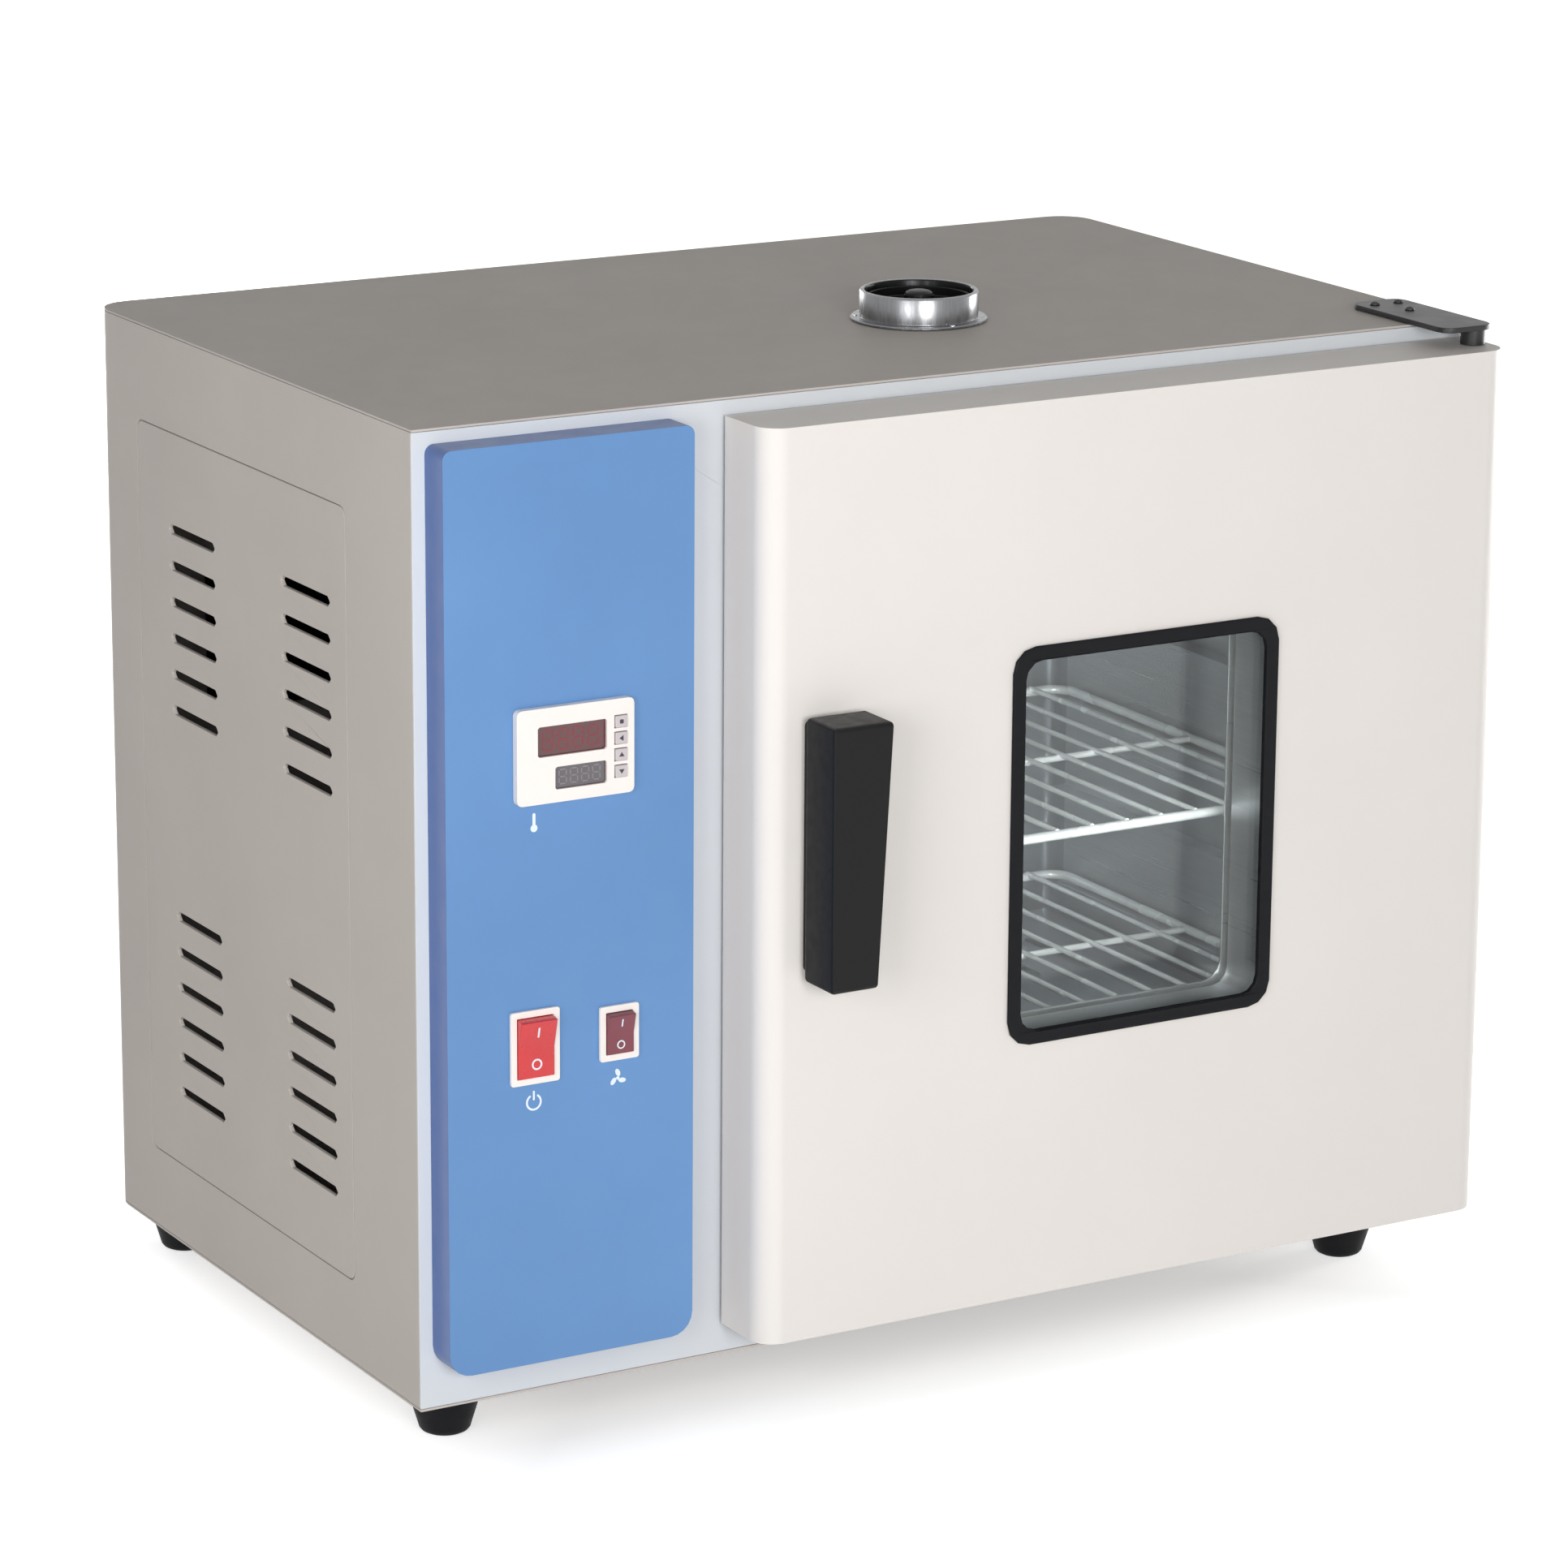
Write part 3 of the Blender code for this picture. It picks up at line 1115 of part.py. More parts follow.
def make_vent(liner, wool, top):
    """Exhaust pipe, its collar on the top and a cup-shaped damper with a knob."""
    pipe_low, pipe_high = CHAMBER_TOP - GAP - LINER, TOP + DUCT_PIPE_RISE
    inner = DUCT_PIPE_RADIUS - DUCT_PIPE_WALL
    profile = [(inner, pipe_high), (DUCT_PIPE_RADIUS, pipe_high),
               (DUCT_PIPE_RADIUS, pipe_low + LINER),
               (DUCT_PIPE_RADIUS + DUCT_PIPE_LIP, pipe_low + LINER),
               (DUCT_PIPE_RADIUS + DUCT_PIPE_LIP, pipe_low), (inner, pipe_low)]
    turned("vent_pipe", profile, (VENT_X, VENT_Y, 0.0), look="stainless", sides=VENT_SIDES,
           closed=True)
    hole = rod("pipe_hole", (VENT_X, VENT_Y, CHAMBER_TOP - OVERRUN),
               TOP - CHAMBER_TOP + 2 * OVERRUN, DUCT_PIPE_RADIUS + GAP, sides=VENT_SIDES)
    for piece in (liner, wool, top):
        cut(piece, hole)

    base = TOP + GAP
    floor_low = TOP + VENT_FLOOR_RISE
    floor_high = floor_low + VENT_FLOOR_SHEET
    inside = VENT_RADIUS - VENT_WALL
    rim = TOP + VENT_HEIGHT
    lip = VENT_WALL / 3
    bore = DUCT_PIPE_RADIUS + GAP
    profile = [(inside, rim - lip), (inside + lip, rim), (VENT_RADIUS - lip, rim),
               (VENT_RADIUS, rim - lip), (VENT_RADIUS, base + VENT_BASE_SHEET),
               (VENT_BASE_RADIUS, base + VENT_BASE_SHEET), (VENT_BASE_RADIUS, base),
               (bore, base), (bore, floor_low), (VENT_AXLE_RADIUS + GAP, floor_low),
               (VENT_AXLE_RADIUS + GAP, floor_high), (inside, floor_high)]
    collar = turned("vent_collar", profile, (VENT_X, VENT_Y, 0.0), look="zinc_plate",
                    sides=VENT_SIDES, closed=True)

    disc_low = floor_high + VENT_DISC_CLEARANCE
    disc_high = disc_low + VENT_DISC_SHEET
    knob_top = disc_high + VENT_KNOB_HEIGHT
    dome = [(VENT_KNOB_RADIUS * math.cos(math.radians(angle)),
             knob_top - VENT_KNOB_RADIUS / 2 * (1 - math.sin(math.radians(angle))))
            for angle in (90, 60, 35, 12)]
    disc_radius = inside - VENT_DISC_CLEARANCE
    axle_low = floor_low
    skirt_inner = disc_radius - VENT_SKIRT_WALL
    skirt_top = rim - VENT_SKIRT_DROP
    profile = dome + [(VENT_KNOB_RADIUS, disc_high), (skirt_inner, disc_high),
                      (skirt_inner, skirt_top), (disc_radius, skirt_top),
                      (disc_radius, disc_low), (VENT_AXLE_RADIUS, disc_low),
                      (VENT_AXLE_RADIUS, axle_low), (0.0, axle_low)]
    profile[0] = (0.0, profile[0][1])
    damper = turned("vent_damper", profile, (VENT_X, VENT_Y, 0.0), look="black_plastic",
                    sides=VENT_SIDES)
    for index in range(VENT_WINDOWS):
        turn = 360.0 * index / VENT_WINDOWS
        sector = (arc((0.0, 0.0), VENT_WINDOW_OUTER_RADIUS, turn - VENT_WINDOW_SPAN / 2,
                      turn + VENT_WINDOW_SPAN / 2)
                  + arc((0.0, 0.0), VENT_WINDOW_INNER_RADIUS, turn + VENT_WINDOW_SPAN / 2,
                        turn - VENT_WINDOW_SPAN / 2, 3))
        window = flat("vent_window_%d" % index, [sector], VENT_HEIGHT,
                      (VENT_X, VENT_Y, (floor_low + disc_high) / 2))
        cut(collar, window)
        cut(damper, window)
    carry("vent_axis", (VENT_X, VENT_Y, TOP), [damper])


def make_feet():
    """Four tapered rubber feet under the base."""
    top = BOTTOM - GAP
    profile = [(0.0, top), (FOOT_WASHER_RADIUS, top),
               (FOOT_TOP_RADIUS - FOOT_ROUNDING, top - FOOT_ROUNDING / 2),
               (FOOT_TOP_RADIUS, top - FOOT_WASHER_HEIGHT - FOOT_ROUNDING),
               (FOOT_BOTTOM_RADIUS, FOOT_ROUNDING),
               (FOOT_BOTTOM_RADIUS - FOOT_ROUNDING, 0.0), (0.0, 0.0)]
    places = {
        "foot_front_left": (LEFT + FOOT_INSET_X, FRONT + FOOT_INSET_FRONT),
        "foot_front_right": (RIGHT - FOOT_INSET_X, FRONT + FOOT_INSET_FRONT),
        "foot_rear_left": (LEFT + FOOT_INSET_X, BACK - FOOT_INSET_REAR),
        "foot_rear_right": (RIGHT - FOOT_INSET_X, BACK - FOOT_INSET_REAR),
    }
    for name, (x, y) in places.items():
        turned(name, profile, (x, y, 0.0), look="black_rubber", sides=FOOT_SIDES)


def make_controls():
    """Raised blue panel with the controller, its keys and the two rocker switches."""
    low = (LEFT + PANEL_MARGIN_LEFT, BOTTOM + PANEL_MARGIN_BOTTOM)
    high = (low[0] + PANEL_WIDTH, TOP - PANEL_MARGIN_TOP)
    middle = ((low[0] + high[0]) / 2, (low[1] + high[1]) / 2)
    case_middle = (LEFT + CONTROLLER_OFFSET, BOTTOM + CONTROLLER_RISE)
    case_size = (BEZEL_WIDTH - 2 * CASE_MARGIN, BEZEL_HEIGHT - 2 * CASE_MARGIN)
    spare = 2 * CASE_CLEARANCE
    holes = [rounded(case_middle, case_size[0] + spare, case_size[1] + spare, WINDOW_RADIUS_SMALL, 1)]
    switches = (
        ("power_switch_frame", "power_rocker", "red_plastic", LEFT + POWER_OFFSET,
         BOTTOM + POWER_RISE, POWER_WIDTH, POWER_HEIGHT),
        ("fan_switch_frame", "fan_rocker", "grey_plastic", LEFT + FAN_SWITCH_OFFSET,
         BOTTOM + FAN_SWITCH_RISE, FAN_SWITCH_WIDTH, FAN_SWITCH_HEIGHT),
    )
    for _, _, _, x, z, width, height in switches:
        body = (width - 2 * ROCKER_BODY_INSET + spare, height - 2 * ROCKER_BODY_INSET + spare)
        holes.append(rounded((x, z), body[0], body[1], WINDOW_RADIUS_SMALL, 1))
    width, height = high[0] - low[0], high[1] - low[1]
    depth = PANEL_PROUD + OVERRUN
    panel = flat("control_panel",
                 [uneven(middle, width, height, PANEL_TOP_RADIUS, PANEL_FOOT_RADIUS)],
                 depth, (0.0, PANEL_FACE + depth / 2, 0.0), FACING_FRONT, "panel_blue")
    soften(panel, PANEL_EDGE)
    wall = 2 * PANEL_SHEET
    hollow = flat("panel_hollow",
                  [uneven(middle, width - wall, height - wall, PANEL_TOP_RADIUS - PANEL_SHEET,
                          PANEL_FOOT_RADIUS - PANEL_SHEET)],
                  depth, (0.0, PANEL_FACE + PANEL_SHEET + depth / 2, 0.0), FACING_FRONT)
    back = box("panel_back", (low[0] - OVERRUN, FRONT - GAP, low[1] - OVERRUN),
               (high[0] + OVERRUN, FRONT + 2 * OVERRUN, high[1] + OVERRUN))
    cut(panel, back, hollow)
    for index, hole in enumerate(holes):
        cut(panel, flat("panel_hole_%d" % index, [hole], 2 * (PANEL_SHEET + OVERRUN),
                        (0.0, PANEL_FACE, 0.0), FACING_FRONT))
    make_controller(case_middle, case_size)
    for switch in switches:
        make_switch(*switch)


def make_controller(middle, case_size):
    """Bezel with its windows, the lens and keys in it, and the case behind."""
    face = PANEL_FACE - GAP - BEZEL_DEPTH
    upper = (middle[0] + UPPER_WINDOW_ALONG, middle[1] + UPPER_WINDOW_UP)
    lower = (middle[0] + LOWER_WINDOW_ALONG, middle[1] + LOWER_WINDOW_UP)
    bezel = box("controller_bezel",
                (middle[0] - BEZEL_WIDTH / 2, face, middle[1] - BEZEL_HEIGHT / 2),
                (middle[0] + BEZEL_WIDTH / 2, PANEL_FACE - GAP, middle[1] + BEZEL_HEIGHT / 2),
                "white_plastic", lambda at, run: abs(run.y) > 0, BEZEL_RADIUS)
    half_width, half_height = case_size[0] / 2 + GAP, case_size[1] / 2 + GAP
    inside = box("bezel_inside",
                 (middle[0] - half_width, face + BEZEL_WALL, middle[1] - half_height),
                 (middle[0] + half_width, PANEL_FACE + OVERRUN, middle[1] + half_height))
    cut(bezel, inside)
    windows = ((upper, UPPER_WINDOW_LENGTH, UPPER_WINDOW_HEIGHT),
               (lower, LOWER_WINDOW_LENGTH, LOWER_WINDOW_HEIGHT))
    for index, (centre, length, height) in enumerate(windows):
        cut(bezel, flat("bezel_window_%d" % index,
                        [rounded(centre, length, height, WINDOW_RADIUS_SMALL, 1)],
                        2 * OVERRUN, (0.0, face, 0.0), FACING_FRONT))
    lens_left = upper[0] - UPPER_WINDOW_LENGTH / 2 - LENS_MARGIN
    lens_right = upper[0] + UPPER_WINDOW_LENGTH / 2 + LENS_MARGIN
    lens_y = face + BEZEL_WALL + GAP
    box("display_lens",
        (lens_left, lens_y, lower[1] - LOWER_WINDOW_HEIGHT / 2 - LENS_MARGIN),
        (lens_right, lens_y + LENS_SHEET, upper[1] + UPPER_WINDOW_HEIGHT / 2 + LENS_MARGIN),
        "smoked_lens")
    case_front = lens_y + LENS_SHEET + GAP
    box("controller_case",
        (middle[0] - case_size[0] / 2, case_front, middle[1] - case_size[1] / 2),
        (middle[0] + case_size[0] / 2, case_front + CASE_DEPTH, middle[1] + case_size[1] / 2),
        "black_plastic")
    key_x = middle[0] + KEY_COLUMN_SHIFT - KEY_CLEARANCE
    for index, key_z in enumerate(spread(middle[1], KEY_PITCH, KEY_COUNT)):
        hole = (KEY_SIZE + 2 * KEY_CLEARANCE, KEY_HEIGHT + 2 * KEY_CLEARANCE)
        cut(bezel, box("key_hole_%d" % index,
                       (key_x - hole[0] / 2, face - OVERRUN, key_z - hole[1] / 2),
                       (key_x + hole[0] / 2, face + BEZEL_WALL + OVERRUN, key_z + hole[1] / 2)))
        key = box("key_%d" % (index + 1),
                  (key_x - KEY_SIZE / 2, face - KEY_PROUD, key_z - KEY_HEIGHT / 2),
                  (key_x + KEY_SIZE / 2, face - KEY_PROUD + KEY_DEPTH, key_z + KEY_HEIGHT / 2),
                  "grey_plastic", lambda at, run: abs(run.y) > 0, KEY_CLEARANCE, 1)
        carry("key_axis_%d" % (index + 1), (key_x, face, key_z), [key])


def make_switch(frame_name, rocker_name, look, x, z, width, height):
    """Snap-in frame with a pocket, and the rocker that tilts in it."""
    face = PANEL_FACE - GAP - ROCKER_FRAME_PROUD
    frame = flat(frame_name, [rounded((x, z), width, height, ROCKER_FRAME_RADIUS)],
                 ROCKER_FRAME_PROUD, (0.0, face + ROCKER_FRAME_PROUD / 2, 0.0), FACING_FRONT,
                 "white_plastic")
    half_width = width / 2 - ROCKER_BODY_INSET
    half_height = height / 2 - ROCKER_BODY_INSET
    add(frame, box("%s_body" % rocker_name,
                   (x - half_width, face + ROCKER_FRAME_PROUD / 2, z - half_height),
                   (x + half_width, face + ROCKER_BODY_DEPTH, z + half_height)))
    pocket_half = (width / 2 - ROCKER_FRAME_RIM, height / 2 - ROCKER_FRAME_RIM)
    cut(frame, box("%s_pocket" % rocker_name,
                   (x - pocket_half[0], face - OVERRUN, z - pocket_half[1]),
                   (x + pocket_half[0], face + ROCKER_POCKET_DEPTH, z + pocket_half[1])))
    reach = pocket_half[1] - ROCKER_POCKET_SIDE
    rise = reach * math.tan(math.radians(ROCKER_TILT))
    proud = math.degrees(math.asin((rise + ROCKER_FRAME_PROUD) / reach))
    sunk = math.degrees(math.asin(ROCKER_THICKNESS / reach))
    outline = ([(0.0, ROCKER_FRAME_PROUD)]
               + arc((0.0, 0.0), reach, 180 - proud, 180 + sunk, ROCKER_ARC_STEPS)
               + [(0.0, -ROCKER_THICKNESS)]
               + arc((0.0, 0.0), reach, -sunk, proud, ROCKER_ARC_STEPS))
    rocker = flat(rocker_name, [outline], 2 * (pocket_half[0] - ROCKER_POCKET_SIDE),
                  (x, face + ROCKER_PIVOT_DEPTH, z),
                  Matrix(((0, 0, 1), (0, -1, 0), (1, 0, 0))).to_euler(), look)
    rocker.rotation_euler.rotate_axis("Z", math.radians(ROCKER_TILT))
    carry("%s_axis" % rocker_name, rocker.location, [rocker])


def make_electrics():
    """Relay on its heat sink and the terminal block, on the base of the column."""
    floor_z = BOTTOM + SKIN
    relay_left = COLUMN_MIDDLE - RELAY_WIDTH / 2
    pitch = RELAY_WIDTH / RELAY_FIN_COUNT
    outline = [(relay_left, floor_z), (relay_left + RELAY_WIDTH, floor_z)]
    fin_width = pitch * RELAY_FIN_SHARE
    for index in reversed(range(RELAY_FIN_COUNT)):
        left = relay_left + pitch * index + (pitch - fin_width) * index / (RELAY_FIN_COUNT - 1)
        high = floor_z + RELAY_BASE + RELAY_FIN_HEIGHT
        outline += [(left + fin_width, floor_z + RELAY_BASE), (left + fin_width, high),
                    (left, high), (left, floor_z + RELAY_BASE)]
    outline = outline[:1] + outline[1:2] + outline[3:-1]
    flat("solid_state_relay", [outline], RELAY_LENGTH,
         (0.0, FRONT + RELAY_SETBACK, 0.0), FACING_FRONT, "aluminium")
    y = FRONT + TERMINAL_SETBACK
    outline = [(y - TERMINAL_WIDTH / 2, floor_z), (y + TERMINAL_WIDTH / 2, floor_z),
               (y + TERMINAL_WIDTH / 2, floor_z + TERMINAL_STEP),
               (y + TERMINAL_WIDTH / 4, floor_z + TERMINAL_STEP),
               (y + TERMINAL_WIDTH / 4, floor_z + TERMINAL_HEIGHT),
               (y - TERMINAL_WIDTH / 4, floor_z + TERMINAL_HEIGHT),
               (y - TERMINAL_WIDTH / 4, floor_z + TERMINAL_STEP),
               (y - TERMINAL_WIDTH / 2, floor_z + TERMINAL_STEP)]
    flat("terminal_block", [outline], TERMINAL_LENGTH, (COLUMN_MIDDLE, 0.0, 0.0), FACING_SIDE,
         "white_plastic")


def make_hinges():
    """Black hinge plates above and below the door, each with its pin."""
    pin = rod("upper_pin", (HINGE_X, HINGE_Y, DOOR_TOP - HINGE_PIN_REACH),
              TOP + GAP + HINGE_PLATE / 2 - DOOR_TOP + HINGE_PIN_REACH, HINGE_PIN_RADIUS,
              sides=HINGE_SIDES)
    collar = rod("upper_collar", (HINGE_X, HINGE_Y, DOOR_TOP + GAP),
                 TOP + GAP + HINGE_PLATE / 2 - DOOR_TOP - GAP, HINGE_COLLAR_RADIUS,
                 sides=HINGE_SIDES)
    right = RIGHT - HINGE_PLATE_INSET
    front = HINGE_Y - HINGE_COLLAR_RADIUS - HINGE_PLATE
    back = FRONT + HINGE_PLATE_BACK
    middle = (right - HINGE_PLATE_WIDTH / 2, (front + back) / 2)
    upper = flat("hinge_bracket_upper",
                 [rounded(middle, HINGE_PLATE_WIDTH, back - front, HINGE_PLATE_RADIUS)],
                 HINGE_PLATE, (0.0, 0.0, TOP + GAP + HINGE_PLATE / 2), look="black_metal")
    add(upper, collar, pin)

    plate_top = DOOR_BOTTOM - HINGE_PLATE / 2
    plate_low = plate_top - HINGE_PLATE
    leg_front = FRONT - GAP - HINGE_PLATE
    middle = (right - HINGE_PLATE_WIDTH / 2, (front + FRONT - GAP) / 2)
    lower = flat("hinge_bracket_lower",
                 [rounded(middle, HINGE_PLATE_WIDTH, FRONT - GAP - front, HINGE_PLATE)],
                 HINGE_PLATE, (0.0, 0.0, (plate_top + plate_low) / 2), look="black_metal")
    leg = box("lower_leg", (right - HINGE_PLATE_WIDTH, leg_front, plate_top - HINGE_LEG_HEIGHT),
              (right, FRONT - GAP, plate_top))
    low_pin = rod("lower_pin", (HINGE_X, HINGE_Y, plate_low + HINGE_PLATE / 2),
                  DOOR_BOTTOM + HINGE_PIN_REACH - plate_low - HINGE_PLATE / 2, HINGE_PIN_RADIUS,
                  sides=HINGE_SIDES)
    low_collar = rod("lower_collar", (HINGE_X, HINGE_Y, plate_low + HINGE_PLATE / 2),
                     DOOR_BOTTOM - GAP - plate_low - HINGE_PLATE / 2, HINGE_COLLAR_RADIUS,
                     sides=HINGE_SIDES)
    add(lower, leg, low_collar, low_pin)


def latch_slot(wall):
    """Outline of the slot for the latch in the fascia and in its keeper."""
    low = LATCH_LEFT - LATCH_NOSE - LATCH_SIDE_CLEARANCE - KEEPER_SLOT_LEFT
    high = LATCH_LEFT + LATCH_BAR_WIDTH + LATCH_TRAVEL + LATCH_SIDE_CLEARANCE
    half = LATCH_BAR_HEIGHT / 2 + wall
    return rectangle((low, LATCH_Z - half), (high, LATCH_Z + half))


def make_door():
    """Painted shell, liner, insulation and the double-glazed window."""
    low = Vector((DOOR_LEFT, DOOR_FACE, DOOR_BOTTOM))
    high = Vector((DOOR_RIGHT, DOOR_BACK, DOOR_TOP))
    shell = tray("door_shell", low, high, [(0, 1, 0)], SHEET, "door_paint",
                 round_edges=front_upright, radius=DOOR_RADIUS, steps=DOOR_RADIUS_STEPS)
    inset = Vector((SKIN, 0.0, SKIN))
    liner_low = Vector((low.x, high.y - DOOR_LINER_RETURN, low.z)) + inset
    liner = tray("door_liner", liner_low, high - inset, [(0, -1, 0)], SHEET, "stainless")
    deep = Vector((2 * SKIN, SKIN, 2 * SKIN))
    wool = box("door_insulation", low + deep, high - deep, "glass_wool", front_upright,
               DOOR_RADIUS - SKIN, DOOR_RADIUS_STEPS)

    centre = (WINDOW_X, WINDOW_Z)
    sight = (WINDOW_WIDTH - 2 * GASKET_WIDTH, WINDOW_HEIGHT - 2 * GASKET_WIDTH)
    sight_radius = WINDOW_RADIUS - GASKET_WIDTH / 2
    hole = (WINDOW_WIDTH - 2 * GASKET_LIP, WINDOW_HEIGHT - 2 * GASKET_LIP)
    hole_radius = WINDOW_RADIUS - GASKET_LIP / 2
    depth = high.y - low.y
    window_hole = flat("window_hole", [rounded(centre, *hole, hole_radius)],
                       depth + 2 * OVERRUN, (0.0, low.y + depth / 2, 0.0), FACING_FRONT)
    cut(shell, window_hole)
    cut(liner, window_hole)
    pane = (hole[0] + 2 * GLASS_LAP, hole[1] + 2 * GLASS_LAP)
    cut(wool, flat("pane_space", [rounded(centre, pane[0] + 2 * GAP, pane[1] + 2 * GAP,
                                          WINDOW_RADIUS)],
                   depth + 2 * OVERRUN, (0.0, low.y + depth / 2, 0.0), FACING_FRONT))

    outer_y = low.y + SKIN
    inner_y = high.y - SKIN - GLASS
    for name, y in (("window_glass_outer", outer_y), ("window_glass_inner", inner_y)):
        flat(name, [rounded(centre, *pane, WINDOW_RADIUS)], GLASS, (0.0, y + GLASS / 2, 0.0),
             FACING_FRONT, "glass")
    spacer_low, spacer_high = outer_y + GLASS + GAP, inner_y - GAP
    flat("window_spacer",
         [rounded(centre, *pane, WINDOW_RADIUS),
          rounded(centre, pane[0] - 2 * SPACER_LAP, pane[1] - 2 * SPACER_LAP, sight_radius)],
         spacer_high - spacer_low, (0.0, (spacer_low + spacer_high) / 2, 0.0), FACING_FRONT,
         "stainless")
    lip_back = low.y - GAP
    gasket = flat("window_gasket", [rounded(centre, WINDOW_WIDTH, WINDOW_HEIGHT, WINDOW_RADIUS),
                                    rounded(centre, *sight, sight_radius)],
                  GASKET_PROUD, (0.0, lip_back - GASKET_PROUD / 2, 0.0), FACING_FRONT,
                  "black_rubber")
    neck_back = outer_y - GAP
    neck_front = lip_back - GASKET_PROUD / 2
    neck = flat("gasket_neck", [rounded(centre, hole[0] - 2 * GAP, hole[1] - 2 * GAP, hole_radius),
                                rounded(centre, *sight, sight_radius)],
                neck_back - neck_front, (0.0, (neck_back + neck_front) / 2, 0.0), FACING_FRONT)
    add(gasket, neck)

    make_hinge_holes(shell, liner, wool)
    names = ("door_shell", "door_liner", "door_insulation", "window_glass_outer",
             "window_glass_inner", "window_spacer", "window_gasket")
    pieces = [bpy.data.objects[name] for name in names]
    door = carry("door_axis", (HINGE_X, HINGE_Y, BOTTOM), pieces)
    return door, shell, liner, wool


def make_hinge_holes(shell, liner, wool):
    """Sockets for the hinge pins in the ends of the door."""
    reach = HINGE_PIN_REACH + OVERRUN
    radius = HINGE_PIN_RADIUS + HINGE_HOLE_CLEARANCE
    for name, start in (("upper_socket", DOOR_TOP - reach), ("lower_socket", DOOR_BOTTOM - OVERRUN)):
        socket = rod(name, (HINGE_X, HINGE_Y, start), reach + OVERRUN, radius, sides=HINGE_SIDES)
        cut(shell, socket)
        cut(wool, socket)


def handle_outline(inset_left, inset_right, inset_top, inset_bottom):
    """The handle seen from the front: upright on the left, tapered on the right."""
    low_z, high_z = HANDLE_BOTTOM + inset_bottom, HANDLE_TOP - inset_top
    slope = (HANDLE_TOP_WIDTH - HANDLE_BOTTOM_WIDTH) / HANDLE_HEIGHT
    right_low = HANDLE_LEFT + HANDLE_BOTTOM_WIDTH + slope * inset_bottom - inset_right
    right_high = HANDLE_LEFT + HANDLE_TOP_WIDTH - slope * inset_top - inset_right
    left = HANDLE_LEFT + inset_left
    return [(left, low_z), (right_low, low_z), (right_high, high_z), (left, high_z)]


